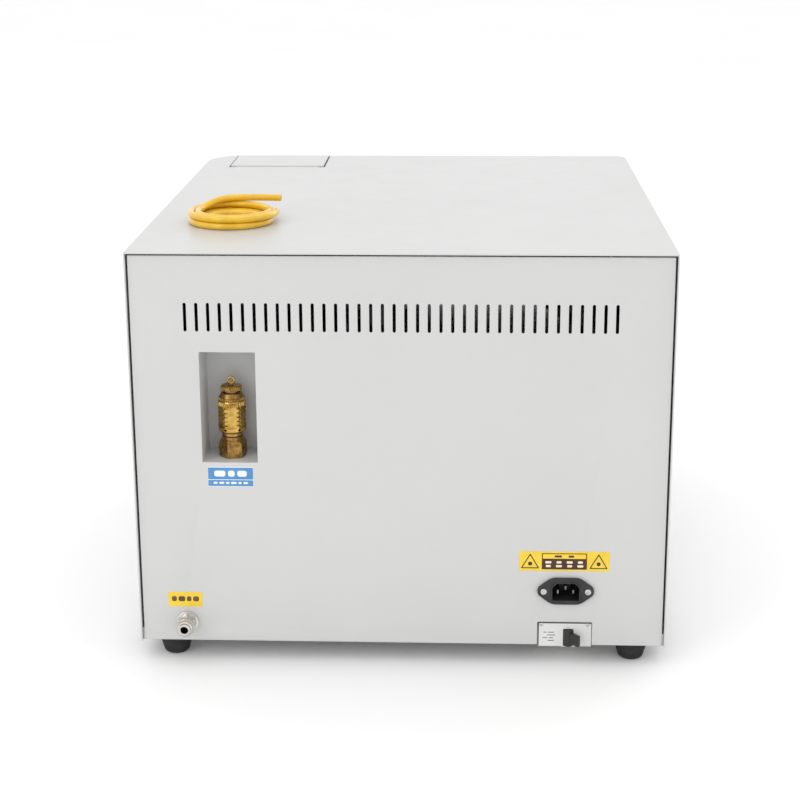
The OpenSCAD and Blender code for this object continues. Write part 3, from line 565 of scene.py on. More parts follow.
def hose_line():
    """The hose's centreline: three turns on the cover, a layer on top of them, then a loose end over the layer."""
    line = []
    for k in range(HOSE_STEPS + 1):
        t = HOSE_FROM + (HOSE_TO - HOSE_FROM) * k / HOSE_STEPS
        r = COIL_R + 2 * HOSE_R * (ease(t, 242, 150) + ease(t, 602, 150) - ease(t, 1250)) + 4.2 * ease(t, 1572)
        z = HOSE_R + 2 * HOSE_R * ease(t, 930) + 6.55 * ease(t, 1545)
        a = radians(110 - t)
        line.append(Vector((COIL_X + r * cos(a), COIL_Y + r * sin(a), TOP_Z + z)))
    for x, y, z in ((-6.8, -37.2, 16.3), (-13.6, -37.3, 16.3), (-20.4, -37.3, 16.3), (-27.2, -37.1, 16.3),
            (-34, -36.8, 16.2), (-41, -36.4, 16.1)):
        line.append(Vector((COIL_X + x, COIL_Y + y, TOP_Z + z)))
    return line


def make_hose():
    line = hose_line()
    obj = as_object("drain_hose", sweep(line, HOSE_R, 20, hollow=2.2, depth=9.0), 40)
    place(obj, "hose_yellow", nodes=("hose_coil", "hose_tail"))


# ---------- casing ----------


def slot_loop(cx, cz, w, h, steps=6):
    """An anticlockwise slot with round ends."""
    r, e = w / 2, (h - w) / 2
    return arc(cx, cz + e, r, 0, 180, steps) + arc(cx, cz - e, r, 180, 360, steps)


def make_casing():
    keep("top_cover", "cover_sheet", 0.5, "casing_paint")
    side, low, high = 237.2, 18.4, 381.2
    notch = (BREAKER_X - 24.8, BREAKER_X + 24.8, BREAKER_Z + 12.4)
    outer = smooth_corners([(-side, low), (notch[0], low), (notch[0], notch[2]), (notch[1], notch[2]),
        (notch[1], low), (side, low), (side, high), (-side, high)], 0.8, 3)
    slots, pitch = 38, 10.2
    holes = [slot_loop((i - (slots - 1) / 2) * pitch, 326, 2.8, 26) for i in range(slots)]
    holes.append(oblong(POCKET_X, POCKET_Z + 51.2, 49.6, 102.4, 0.8, 3))
    holes.append(circle(DRAIN_X, DRAIN_Z, 6.6, 32))
    holes.append(oblong(INLET_X, INLET_Z, 28.6, 20.6, 0.5, 2))
    for i in (-1, 1):
        holes.append(circle(INLET_X + i * 20, INLET_Z, 1.3, 12))
    panel = plate("rear_sheet", outer, holes, PANEL_BACK, PANEL_Y, to_rear, front=0.8, back=0.1, hole_edge=0.35)
    place(panel, "casing_paint", nodes=("rear_panel",))
    keep("valve_pocket", "pocket_box", 0.35, "casing_paint")
    keep("base_pan", "base_sheet", 0.4, "galvanised_steel")
    keep("front_fascia", "fascia_sheet", 0.5, "casing_paint")
    keep("tank_hatch", "hatch_lid", 0.55, "casing_paint", "hatch")
    keep("hatch_hinge_pin", "hatch_pin", 0.25, "screw_steel")
    keep("hatch_brackets", "hatch_lugs", 0.5, "galvanised_steel")
    feet = [(-211, -206), (211, -206), (-211, 260), (211, 260)]
    for i, (x, y) in enumerate(feet, 1):
        wall = [(1.4 + 1.3 * k + d, 11.4 + 0.38 * k + r) for k in range(9)
            for d, r in ((0, 0), (0.9, 0.36), (1.1, 0))]
        rings = [(8, 2.3), (8, 5), (0.6, 5.3), (0, 6), (0, 9.6), (0.4, 10.3)] + wall
        rings += [(13.4, 14.8), (14, 15.4), (17.4, 15.6), (18, 15.2), (18, 2.3)]
        foot = polar(f"rubber_foot_{i}", (x, y, 0), UP, rings, 64)
        place(foot, "foot_rubber", nodes=(f"foot_{i}",))
    heads = []
    for i, (x, y) in enumerate(feet):
        heads.append(screw((x, y, 8), (0, 0, -1), 3.9, 2.4, turn=0.4 * i, shank=13.5, shank_r=2.0))
    for i, s in enumerate((-1, 1)):
        for k, y in enumerate((-188, 17, 242)):
            heads.append(screw((s * 240, y, 26), (s, 0, 0), 3.6, 1.75, turn=0.5 * k + i, shank=5.5, shank_r=1.7))
    unit("casing_screw_set", heads, "screw_steel", nodes=("casing_screws",))


# ---------- safety valve ----------


def hexagon(corner, turn):
    flat = corner * cos(pi / 6)

    def r(a):
        k = (a - radians(turn)) % (pi / 3)
        return flat / cos(k - pi / 6)

    return r


def limited(shape, most):
    return lambda a: min(shape(a), most)


def toothed(big, small, count):
    def r(a):
        k = 0.5 + 0.5 * cos(a * count)
        return small + (big - small) * min(1.0, max(0.0, k * 1.6 - 0.3))

    return r


def between_flats(flats, waist):
    """The hexagon's flats as they are, with a groove of radius `waist` across each corner between them."""

    def r(a):
        off = abs(degrees(a - radians(38)) % 60 - 30)
        return min(flats(a), waist) if off > 19 else flats(a)

    return r


# Heights above the pocket's floor: the barrel's and the cap's lower ends, the stem's disc and the pull ring's middle
BARREL, CAP, SEAT, EYE = 23, 53, 25.2, 70.8


def make_valve():
    def turned(name, z, rings, sides, sharp=25):
        return polar(name, (POCKET_X, VALVE_Y, z), UP, rings, sides, sharp)

    hexed = hexagon(12.7, 45)
    rings = [(-16.3, 4), (-16.3, 6.9), (0, 6.9), (0, limited(hexed, 11.6)), (0.8, limited(hexed, 12.6)),
        (13.6, limited(hexed, 12.6)), (15, limited(hexed, 11.2)), (15.05, 10.6), (15.6, 10.4), (16.4, 9.5),
        (19.0, 9.5), (19.3, 8.9), (20.1, 8.9), (20.4, 9.5), (22.6, 9.5), (22.95, 9.3), (22.95, 4)]
    base = turned("valve_hex_base", POCKET_Z, rings, 120)
    place(base, "aged_brass", nodes=("valve_base",), slot="valve_brass")

    z = POCKET_Z + BARREL
    flats = hexagon(11.2 / cos(pi / 6), 38)
    tooth = toothed(12.5, 11.6, 30)
    full, waisted = limited(flats, 12.48), between_flats(flats, 11.3)
    ribs = [(5.6 + 3.9 * k + d, r) for k in range(5) for d, r in ((0, full), (2.0, full), (2.5, waisted),
        (3.4, waisted), (3.85, full))]
    rings = [(0.05, 4), (0.05, 9.6), (0.6, 10.4), (1.9, 12.1), (2.2, 12.45), (5.4, 12.45), *ribs[:-2], (25.3, 11.9),
        (25.6, tooth), (28.6, tooth), (29.0, 11.8), (29.9, 11.4), (29.9, 8.5), (2, 8.5), (2, 4)]
    body = turned("valve_barrel", z, rings, 240)
    vents = [drill((POCKET_X + 7 * cos(a), VALVE_Y + 7 * sin(a), z + 3.8), (cos(a), sin(a), 0), 1.2, 8, 20)
        for a in (radians(8 + 60 * k) for k in range(6))]
    cut(body, vents, 25)
    place(body, "valve_brass", nodes=("valve_body",))

    z = POCKET_Z + CAP
    knurl = toothed(11.8, 11.1, 36)
    grip = toothed(9.4, 8.9, 28)
    rings = [(-4, 2.4), (-4, 8.2), (-3.6, 8.4), (0, 8.4), (0, 11.0), (0.3, knurl), (2.7, knurl), (3.0, 10.9),
        (3.0, 10.6), (3.4, 10.5), (6.4, 9.8), (7.0, 9.2), (7.0, 7.5), (9.0, 7.5), (9.0, 8.6), (9.4, grip),
        (12.6, grip), (13.2, 8.7), (13.5, 7.8), (13.5, 4.0), (12.9, 3.4), (12.9, 2.4)]
    cap = turned("valve_top", z, rings, 216)
    place(cap, "aged_brass", nodes=("valve_cap",), slot="valve_brass")
    # Near-black rings in the valve's groove, at its joints and at the cap's neck: painted shade where these crevices
    # fall dark.
    groove_shades = []
    for h, r0, r1 in ((7.05, 7.4, 7.7), (-52.4, 10.5, 10.75), (-34.0, 8.7, 9.1), (-29.95, 9.5, 9.9)):
        groove_shades.append(turned("s", z + h, [(0, r0), (0, r1), (0.9, r1), (0.9, r0)], 64, 30))
    unit("valve_groove_shade", groove_shades, "painted_groove_shade", slot="valve_brass")

    eye_z = POCKET_Z + EYE
    rings = [(0, 0), (0, 6.6), (0.4, 7), (2.1, 7), (2.5, 6.6), (2.5, 2.2), (41.4, 2.2), (42.2, 1.4), (42.6, 0)]
    rod = turned("rod", POCKET_Z + SEAT, rings, 32, 30)
    bm = bmesh.new()
    loops = []
    for k in range(40):
        p = Vector((POCKET_X + 2.9 * cos(TAU * k / 40), VALVE_Y, eye_z + 2.9 * sin(TAU * k / 40)))
        out = (p - Vector((POCKET_X, VALVE_Y, eye_z))).normalized()
        loops.append([bm.verts.new(p + (out * cos(TAU * j / 14) + Vector(BACK) * sin(TAU * j / 14)))
            for j in range(14)])
    for a, b in zip(loops, loops[1:] + loops[:1]):
        bridge(bm, a, b)
    unit("pull_stem", [rod, as_object("eye", bm)], "valve_brass", "relief_stem", ("valve_stem",))

    low, high = POCKET_Z + SEAT + 3.5, POCKET_Z + CAP - 5
    points = []
    for t in (k / 240 for k in range(241)):
        rise = min(max((t - 0.12) / 0.76, 0.0), 1.0)
        a = TAU * 6 * t
        points.append((POCKET_X + 5 * cos(a), VALVE_Y + 5 * sin(a), low + (high - low) * rise))
    spring = as_object("relief_spring", sweep(points, 0.78, 10), 60)
    place(spring, "screw_steel", nodes=("valve_spring",))
    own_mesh(spring)


# ---------- labels ----------

# How far a label's film stands up from the panel, and a second and a third layer of print
FILM, PRINT, OVERPRINT = 0.16, 0.2, 0.24


def flat_mark(name, outline, level, thick=0.03):
    """A printed mark: a very thin raised shape on a label that lies on the rear panel."""
    return plate(name, outline, [], PANEL_Y + level, PANEL_Y + level + thick, to_rear, 0, 0)


def bars(cx, cz, widths, height, level, gap=1.6):
    """A row of short bars that stands for print."""
    marks = []
    x = cx - (sum(widths) + gap * (len(widths) - 1)) / 2
    for w in widths:
        marks.append(flat_mark("m", oblong(x + w / 2, cz, w, height, height * 0.3, 2), level))
        x += w + gap
    return join("row", marks)


def make_labels():
    def film(node, cx, cz, w, h, mat, slot):
        obj = plate(node + "_film", oblong(cx, cz, w, h, 1.2, 5), [], PANEL_Y, PANEL_Y + FILM, to_rear, 0.06, 0)
        place(obj, mat, nodes=(node,), slot=slot)

    cx, cz = POCKET_X, 178.3
    film("valve_label", cx, cz, 41, 18.6, "film_white", "label_blue")
    place(flat_mark("valve_label_band_top", oblong(cx, cz + 3.2, 40.5, 11.2, 0.6, 3), FILM), "label_blue")
    place(flat_mark("valve_label_band_low", oblong(cx, cz - 5.9, 40.5, 5.8, 0.6, 3), FILM), "label_blue")
    place(bars(cx, cz + 3.1, (8.5, 6, 10), 5.6, PRINT, 2.4), "film_white", slot="label_blue")
    place(bars(cx, cz - 5.7, (4, 3, 5, 3, 4.5, 3.5), 1.9, PRINT), "film_white", slot="label_blue")

    cx, cz = 197.9, 59
    film("drain_label", cx, cz, 31.5, 14.4, "label_yellow", "label_yellow")
    place(bars(cx, cz + 0.5, (5.5, 4.2, 6.2, 4.6), 5.0, FILM, 1.5), "ink_brown", slot="label_yellow")

    cx, cz = -147.2, 100.5
    film("hazard_label", cx, cz, 81.5, 19, "label_yellow", "label_yellow")
    frames = []
    for s in (-1, 1):
        x = cx + s * 30.8
        tri = [(x - 8.4, cz - 7.0), (x + 8.4, cz - 7.0), (x, cz + 7.6)]
        outer_loop = smooth_corners(tri, 1.0, 3)
        hole = smooth_corners([tuple(p) for p in inset(tri, 0.95)], 0.6, 3)
        frames.append(plate("t", outer_loop, [hole], PANEL_Y + FILM, PANEL_Y + 0.19, to_rear, 0, 0, 0))
        frames.append(flat_mark("dot", circle(x, cz - 2.4, 1.9, 20), FILM))
    unit("hazard_signs", frames, "ink_black", slot="label_yellow")
    place(flat_mark("hazard_box", oblong(cx, cz, 40.6, 15.6, 0.5, 2), FILM), "ink_maroon", slot="label_yellow")
    place(flat_mark("hazard_strip", oblong(cx, cz + 4.8, 38.8, 4.4, 0.3, 2), PRINT), "label_yellow")
    blobs = [flat_mark("b", oblong(cx - 14.4 + 9.6 * k, cz - 0.9 - 3.7 * j, 4.4 + (k + j) % 2, 2.2, 0.6, 2), PRINT)
        for j in range(2) for k in range(4)]
    unit("hazard_print", blobs, "ink_pale", slot="label_yellow")
    place(bars(cx, cz + 4.8, (5, 6.5), 2.0, OVERPRINT, 6), "ink_maroon", slot="label_yellow")


# ---------- rear fittings ----------


def make_rear_fittings():
    rings = rounded([(-21.2, 2.2), (-21.2, 6.5), (0, 6.5), (0, 10.5), (2, 10.5), (2.0, 8.0), (2.2, 7.5), (12.2, 7.5),
        (12.4, 7.1), (13.0, 7.1), (13.2, 7.5), (17.4, 7.5), (18.2, 6.7), (18.2, 5.9)],
        [0, 0.3, 0, 0, 0.5, 0, 0, 0.1, 0.1, 0.1, 0.1, 0.5, 0.3, 0], 4)
    rings += [(18.2, 4.6), (3.2, 4.6), (3.2, 2.2)]
    nut = limited(hexagon(9.0, 30), 8.8)
    # The last piece is a near-black disc at the foot of the fitting's bore: painted shade in the hole.
    for name, rings, sides, sharp, mat, nodes in (("drain_fitting_body", rings, 96, 30, "nickel_plate",
            ("drain_outlet",)), ("drain_release_collar", [(4, 3.4), (4, 4.5), (18.5, 4.5), (18.6, 5.7), (19.4, 5.7),
            (20, 5.2), (20, 3.8), (19.6, 3.4)], 72, 30, "nickel_plate", ()),
            ("drain_spanner_hex", [(2, 6), (2, 8.2), (2.5, nut), (8.4, nut), (9, 8.0), (9, 6)], 96, 25,
            "nickel_plate", ()), ("drain_bore_painted_shade", [(3.1, 0), (3.1, 3.3), (3.4, 3.3), (3.4, 0)], 40, 32, "painted_bore_shade",
            ())):
        piece = polar(name, (DRAIN_X, PANEL_Y, DRAIN_Z), BACK, rings, sides, sharp)
        place(piece, mat, nodes=nodes, slot="nickel_plate")
    pipe = bend([(DRAIN_X, -90, 215), (DRAIN_X, -90, DRAIN_Z), (DRAIN_X, 258.8, DRAIN_Z)], 22, 12)
    place(as_object("drain_tube", sweep(pipe, 4.5, 20), 60), "hose_clear", nodes=("drain_pipe",))
    clamps = []
    for at, d in (((DRAIN_X, -90, 205), UP), ((DRAIN_X, 251, DRAIN_Z), BACK)):
        clamps.append(polar("c", at, d, [(-1.5, 4.6), (-1.5, 5.2), (1.5, 5.2), (1.5, 4.6)], 32))
    unit("drain_clamps", clamps, "strap_steel", slot="screw_steel")

    w, h, c = 12.1, 8.2, 4.0
    cavity = [(-w, -h), (w, -h), (w, h - c), (w - c, h), (-w + c, h), (-w, h - c)]
    ring_in = smooth_corners([(INLET_X + x, INLET_Z + z) for x, z in cavity], 1.0, 4)
    outline = [(-25.5, -3), (-13, -12.7), (13, -12.7), (25.5, -3), (25.5, 3), (13, 12.7), (-13, 12.7), (-25.5, 3)]
    face = smooth_corners([(INLET_X + x, INLET_Z + z) for x, z in outline], 5, 8)
    ears = [circle(INLET_X + i * 20, INLET_Z, 1.4, 16) for i in (-1, 1)]
    flange = plate("f", face, [ring_in, *ears], 280, 283.2, to_rear, 1.0, 0.1, 0.3, 4)
    shell = plate("s", oblong(INLET_X, INLET_Z, 28, 20, 1.2, 4), [ring_in], 262, 280.5, to_rear, 0.1, 0.1, 0.1)
    floor = box((INLET_X - 14, 258.8, INLET_Z - 10), (INLET_X + 14, 262.2, INLET_Z + 10), 0.8, 2)
    unit("inlet_moulding", [flange, shell, floor], "black_plastic", nodes=("mains_inlet",))
    ring_out = [tuple(p) for p in inset(ring_in, -1.5)]
    rim = plate("inlet_rim", ring_out, [ring_in], 282.6, 283.9, to_rear, 0.4, 0, 0.25)
    place(rim, "black_plastic")
    blades = []
    for dx, dz in ((-7, -2), (7, -2), (0, 2)):
        x, z = INLET_X + dx, INLET_Z + dz
        blades.append(box((x - 1, 252.8, z - 2), (x + 1, 278.5, z + 2), 0.55, 3))
    unit("inlet_pins", blades, "inlet_metal", nodes=("inlet_blades",), slot="nickel_plate")
    heads = [screw((INLET_X - 20, 283.1, INLET_Z), BACK, 2.9, 1.0, turn=0.3, shank=9, shank_r=1.2),
        screw((INLET_X + 20, 283.1, INLET_Z), BACK, 2.9, 1.0, turn=1.0, shank=9, shank_r=1.2),
        screw((BREAKER_X - 21, BREAKER_Y - 0.1, BREAKER_Z + 9.4), BACK, 1.8, 0.7, turn=0.2),
        screw((BREAKER_X + 21, BREAKER_Y - 0.1, BREAKER_Z + 9.4), BACK, 1.8, 0.7, turn=0.9)]
    unit("fitting_screw_set", heads, "screw_steel", nodes=("fitting_screws",))

    keep("breaker_body", "breaker_case", 0.35, "breaker_grey")
    x, y, z = BREAKER_X, BREAKER_Y, BREAKER_Z
    window = plate("breaker_window", oblong(TOGGLE[0], TOGGLE[2], 12.4, 18.6, 0.8, 4),
        [oblong(TOGGLE[0], TOGGLE[2], 9.6, 16.8, 0.5, 3)], y, y + 0.5, to_rear, 0.25, 0, 0.15)
    place(window, "breaker_grey")
    # Black strips along the top and one side of the breaker's face: painted shadow of the panel's cut edge.
    gap = [box((x - 24.2, y - 0.4, z + 10.7), (x + 24.2, y + 0.25, z + 11.8), 0.1, 1),
        box((x + 23.4, y - 0.4, z - 11.6), (x + 24.2, y + 0.25, z + 10.6), 0.1, 1)]
    unit("breaker_painted_shadow", gap, "black_plastic")
    marks = []
    for row, parts in enumerate(([5.5, 3], [7.5], [4, 4.5], [6])):
        cx = x + 14.2
        for k, wd in enumerate(parts):
            marks.append(plate("m", oblong(cx - 2 + k * 5.4, z + 1.8 - row * 2.7, wd, 0.9, 0.3, 2), [], y, y + 0.04,
                to_rear, 0, 0))
    unit("breaker_print", marks, "ink_grey", slot="breaker_grey")

    tx, ty, tz = TOGGLE
    hub = polar("h", (tx, ty, tz - 8.3), UP, [(0, 0), (0, 1.5), (0.3, 1.5), (0.3, 3.9), (0.6, 4.2), (16, 4.2),
        (16.3, 3.9), (16.3, 1.5), (16.6, 1.5), (16.6, 0)], 48)
    paddle = box((-2, 0, -5.4), (2, 13.3, 5.4), 1.1, 4)
    ribs = [box((-2.15, 7.2 + 1.5 * k, -4.2), (2.15, 7.9 + 1.5 * k, 4.2), 0.2, 1) for k in range(4)]
    turn = Matrix.Rotation(radians(45), 4, "Z")
    for o in [paddle, *ribs]:
        o.data.transform(Matrix.Translation(Vector(TOGGLE) * MM) @ turn)
    unit("toggle_lever", [hub, paddle, *ribs], "black_plastic", "toggle", ("breaker_toggle",))


def around(y, direction=BACK):
    """Where a turned piece on the chamber's axis starts, and which way it goes."""
    return (CHAMBER_X, y, CHAMBER_Z), direction


# ---------- door ----------

DOOR_BACK, DOOR_FRONT, DOOR_W, DOOR_H = -250.0, -284.0, 310.0, 300.0
DOOR_BITS = (CHAMBER_Z - 95, CHAMBER_Z + 95)
BOLT_DX, BOLT_Y, HANDLE_FRONT = 14.26, -271.0, -299.4


def loft(name, outline, rows, sharp=32.0):
    """A solid through copies of one outline: rows are (inset, y), and the first and the last are closed."""
    bm = bmesh.new()
    rings = []
    for d, y in rows:
        loop = inset(outline, d) if d else [Vector(q) for q in outline]
        rings.append([bm.verts.new((q.x, y, q.y)) for q in loop])
    for a, b in zip(rings, rings[1:]):
        bridge(bm, a, b)
    bm.faces.new(rings[0])
    bm.faces.new(rings[-1])
    return as_object(name, bm, sharp)


def fillet_rows(radius, edge, steps=7):
    """Rows round the front edge of a loft whose front face is at y = edge."""
    return [(radius * (1 - cos(pi / 2 * k / steps)), edge + radius * (1 - sin(pi / 2 * k / steps)))
        for k in range(steps + 1)]


def make_door():
    shape = oblong(CHAMBER_X, CHAMBER_Z, DOOR_W, DOOR_H, 16, 10)
    rows = [(2.5 + d, y) for d, y in reversed(fillet_rows(5, DOOR_FRONT + 2.5, 5))]
    rows += [(2.5, DOOR_BACK), (0.6, DOOR_BACK), (0, DOOR_BACK - 0.6)] + fillet_rows(7, DOOR_FRONT)
    shell = loft("door_shell", shape, rows, 35)
    cutters = []
    for z in DOOR_BITS:
        left = CHAMBER_X - DOOR_W / 2
        cutters.append(box((left - 2, -267, z - 18), (left + 3.5, DOOR_BACK + 1, z + 18), 0))
    for s in (-1, 1):
        cutters.append(drill((CHAMBER_X - s * BOLT_DX, BOLT_Y, CHAMBER_Z + s * 146 - 6), UP, 6.3, 12, 40))
    cutters.append(drill((CHAMBER_X, DOOR_FRONT - 1, CHAMBER_Z), BACK, 5.3, 8, 40))
    cut(shell, cutters, 35)
    place(shell, "casing_paint", "door", ("door_cover",))
    disc = polar("door_disc", *around(-259), [(0, 0), (0, 142), (1, 143), (8.2, 143), (9, 142.2), (9, 137.4),
        (8.6, 137), (5, 137), (5, 127), (8.6, 127), (9, 126.6), (9, 118), (8.2, 114), (8.2, 62), (7.4, 58), (7.4, 0)],
        128, 28)
    place(disc, "stainless_steel", "door", ("door_plate",))
    seal = polar("door_seal", *around(-254), [(0.1, 127.3), (0.1, 136.7), (3.8, 136.9), (4.4, 136), (5.2, 134.6),
        (5.6, 133.4), (5.5, 132.4), (4.7, 131.4), (4.5, 130.6), (5.0, 129.6), (5.2, 128.4), (4.6, 127.4),
        (3.8, 127.1)], 128, 40)
    place(seal, "silicone", "door", ("door_gasket",))

    cx, cz = CHAMBER_X, CHAMBER_Z
    tip = arc(cx + 110, cz, 13, -90, 90, 14)
    hub = arc(cx, cz, 18, 46.2, 313.8, 40)
    lever = loft("lever_handle", tip + hub, [(3, -287.5), (0.8, -287.7), (0, -288.5)]
        + fillet_rows(5, HANDLE_FRONT, 8), 40)
    rose = polar("handle_rose", *around(-284.5, FORWARD), [(0, 5.1), (0, 23), (0.8, 24), (3, 24), (5, 21.5),
        (5.8, 19.5), (5.8, 5.1)], 72, 35)
    grip = [box((cx + 44 + 8 * k, -300.0, cz - 8.4), (cx + 46.4 + 8 * k, -298.6, cz + 8.4), 0.5, 2) for k in range(7)]
    unit("handle_lever_set", [lever, rose], "handle_plastic", "handle", ("door_handle",))
    unit("handle_grip_ribs", grip, "ink_grey", "handle", slot="handle_plastic")
    place(polar("handle_hub_badge", *around(HANDLE_FRONT, FORWARD), [(0, 0), (0, 9.4), (0.4, 9.4), (0.6, 9),
        (0.6, 0)], 48), "strap_steel", "handle", slot="screw_steel")


# ---------- controls ----------

# The fascia's face, measured forward, and the front of the control board
FACE, BOARD_Y = 248, -236.5


def make_controls():
    pane = plate("display_pane", oblong(PANEL_CX, 302, 69.4, 41.4, 1.5, 5), [], FACE - 2, FACE, to_front, 0.5, 0.1)
    place(pane, "display_glass", nodes=("display_window",))
    rim = plate("display_rim", oblong(PANEL_CX, 302, 66.4, 38.4, 1.2, 4), [oblong(PANEL_CX, 302, 60.4, 32.4, 0.8, 3)],
        FACE, FACE + 0.06, to_front, 0, 0, 0)
    place(rim, "ink_grey", slot="display_glass")
    marks = []
    segments = (("a", 0, 7), ("g", 0, 0), ("d", 0, -7), ("f", -4.4, 3.5), ("b", 4.4, 3.5), ("c", 4.4, -3.5))
    for k, lit in enumerate(("bc", "abgcd", "fgbc")):
        for name, dx, dz in segments:
            if name in lit:
                w, h = (1.5, 5.6) if dx else (7, 1.5)
                marks.append(oblong(PANEL_CX - 19 + 15 * k + dx, 306 + dz, w, h, 0.6, 2))
    marks += [oblong(PANEL_CX - 24 + 4.6 * k, 290, 3.4, 2.2, 0.5, 2) for k in range(8)]
    marks.append(circle(PANEL_CX + 24, 310, 2.0, 16))
    marks.append(circle(PANEL_CX + 24, 302, 2.0, 16))
    shown = [plate("m", m, [], FACE + 0.06, FACE + 0.12, to_front, 0, 0) for m in marks]
    unit("display_marks", shown, "glow", slot="display_glass")
    for k, dx in enumerate((-28, 0, 28), 1):
        x = PANEL_CX + dx
        cap = polar(f"key_cap_{k}", (x, -250, 246), BACK, [(1.0, 0), (0.9, 3.4), (0.35, 5.0), (0, 5.9), (0.1, 6.5),
            (0.6, 7), (5.9, 7), (5.9, 8.6), (7.5, 8.6), (7.5, 0)], 56, 35)
        place(cap, "button_plastic", f"key_{k}", (f"button_{k}",))
        rows = {1: [oblong(x, 246, 1.1, 4.6, 0.4, 2), oblong(x, 246, 4.6, 1.1, 0.4, 2)],
            2: [oblong(x, 246, 4.8, 1.1, 0.4, 2)], 3: [[(x - 1.6, 243.6), (x + 2.6, 246), (x - 1.6, 248.4)]]}[k]
        signs = [plate("m", loop, [], 249.14, 249.24, to_front, 0, 0) for loop in rows]
        unit(f"key_sign_{k}", signs, "film_white", f"key_{k}", slot="button_plastic")
    y = BOARD_Y
    board = plate("board", oblong(PANEL_CX, 280, 84, 108, 2, 4), [circle(PANEL_CX + a * 37, 280 + b * 49, 1.6, 16)
        for a in (-1, 1) for b in (-1, 1)], y, y + 1.6, to_rear, 0.1, 0.1, 0.1)
    module = box((PANEL_CX - 35, y - 6.5, 282), (PANEL_CX + 35, y, 322), 0.5, 2)
    unit("board_and_module", [board, module], "circuit_board", nodes=("control_board",))
    relays, pins, caps = [], [], []
    for a in (-30, -6, 18):
        for z in (262, 290):
            x0 = PANEL_CX + a
            relays.append(box((x0, y + 1.6, z), (x0 + 14, y + 7, z + 10), 0.5, 2))
            pins += [box((x0 + 2 + 5 * q, y + 1.5, z - 1.6), (x0 + 3 + 5 * q, y + 2.0, z + 0.4), 0.1, 1)
                for q in range(3)]
    for k in range(4):
        caps.append(polar("c", (PANEL_CX - 30 + 15 * k, y + 1.6, 238), BACK,
            [(0, 0), (0, 3.8), (0.5, 4.0), (4.6, 4.0), (5.3, 3.4), (5.3, 0)], 28))
    for k in range(10):
        pins.append(box((PANEL_CX - 27 + 6 * k, y + 1.5, 327), (PANEL_CX - 25 + 6 * k, y + 4.6, 330), 0.2, 1))
    unit("board_relays", relays, "relay_blue", slot="circuit_board")
    unit("board_contacts", pins, "tinned", slot="screw_steel")
    unit("board_capacitors", caps, "coil_black", slot="circuit_board")


# ---------- pressure system ----------


def make_vessel():
    cx, cz, deep = CHAMBER_X, CHAMBER_Z, 448.0
    inner = rounded([(deep, 0), (deep, 125.0), (0, 125.0)], 9, 6)
    rings = [(0.0, 125.6), (0, 145.2), (0.8, 146), (9.4, 146), (10, 145.4), (10, 129.5), (10.8, 128), (452, 128),
        (453.4, 126.6), (454, 124), (454, 0)]
    body = polar("vessel", *around(-248), inner[:-1] + [(0.6, 125.0)] + rings, 128, 30)
    cut(body, [drill((cx + 70, 196, cz - 62), BACK, 4, 30, 32)], 30)
    boss = polar("boss", (cx + 70, 205, cz - 62), BACK, [(0, 4), (0, 9.5), (1.5, 8), (9, 8), (9.5, 7.4), (9.5, 4)],
        40, 30)
    unit("chamber_vessel", [body, boss], "stainless_steel", nodes=("chamber",))
    strainer = polar("chamber_strainer", (cx, 150, cz - 125.4), UP, [(0, 0), (0, 13), (1.2, 13), (2.4, 12), (3.2, 9),
        (3.4, 0)], 48)
    cut(strainer, [drill((cx + 8 * cos(TAU * k / 8), 150 + 8 * sin(TAU * k / 8), cz - 125), UP, 1.3, 6, 16)
        for k in range(8)])
    place(strainer, "strap_steel", slot="stainless_steel")


def make_sleeve():
    """A quilted wool blanket round the vessel, drawn in under three steel straps."""
    inner, outer, y0, y1 = 131.1, 143.1, -226.0, 158.0
    straps = (-186.0, -34.0, 118.0)
    steps, sides = 96, 168
    bm = bmesh.new()

    def ring(y, radius_at):
        return [bm.verts.new((CHAMBER_X + radius_at(TAU * k / sides, y) * cos(TAU * k / sides), y,
            CHAMBER_Z + radius_at(TAU * k / sides, y) * sin(TAU * k / sides))) for k in range(sides)]

    def skin(a, y):
        pinch = sum(1.9 * exp(-((y - q) / 13.0) ** 2) for q in straps)
        near = min(abs(y - q) for q in straps)
        folds = noise.noise(Vector((cos(a) * 9, sin(a) * 9, y / 55)))
        lumps = noise.noise(Vector((cos(a) * 4, sin(a) * 4, y / 26)))
        wrinkle = 0.9 * folds * exp(-(near / 30.0) ** 2) + 0.6 * lumps
        edge = 2.4 * (exp(-(y - y0) / 3.0) + exp(-(y1 - y) / 3.0))
        seam = 1.4 * exp(-((((a - pi / 2) + pi) % TAU - pi) * 143 / 2.2) ** 2)
        return min(outer, outer - 0.9 - pinch + wrinkle - edge - seam)

    loops = [ring(y0 + (y1 - y0) * k / steps, skin) for k in range(steps + 1)]
    loops.append(ring(y1, lambda a, y: inner))
    loops.append(ring(y0, lambda a, y: inner))
    for a, b in zip(loops, loops[1:] + loops[:1]):
        for k in range(sides):
            n = (k + 1) % sides
            bm.faces.new((a[k], b[k], b[n], a[n]))
    sleeve = as_object("wool_sleeve", bm, 70)
    opening = box((CHAMBER_X + 57, -63, CHAMBER_Z - 150), (CHAMBER_X + 75, -27, CHAMBER_Z - 100), 0)
    cut(sleeve, [opening], 70)
    place(sleeve, "insulation_felt", nodes=("chamber_insulation",))
    bands, buckles = [], []
    for q in straps:
        bands.append(polar("b", *around(q), [(-6, 141.0), (-6, 141.4), (-5.6, 141.8), (5.6, 141.8), (6, 141.4),
            (6, 141.0)], 144, 35))
        buckles.append(box((CHAMBER_X - 9, q - 8, CHAMBER_Z + 141), (CHAMBER_X + 9, q + 8, CHAMBER_Z + 143), 0.6, 2))
    unit("sleeve_straps", bands, "strap_steel", slot="screw_steel")
    unit("sleeve_buckles", buckles, "strap_steel", slot="screw_steel")


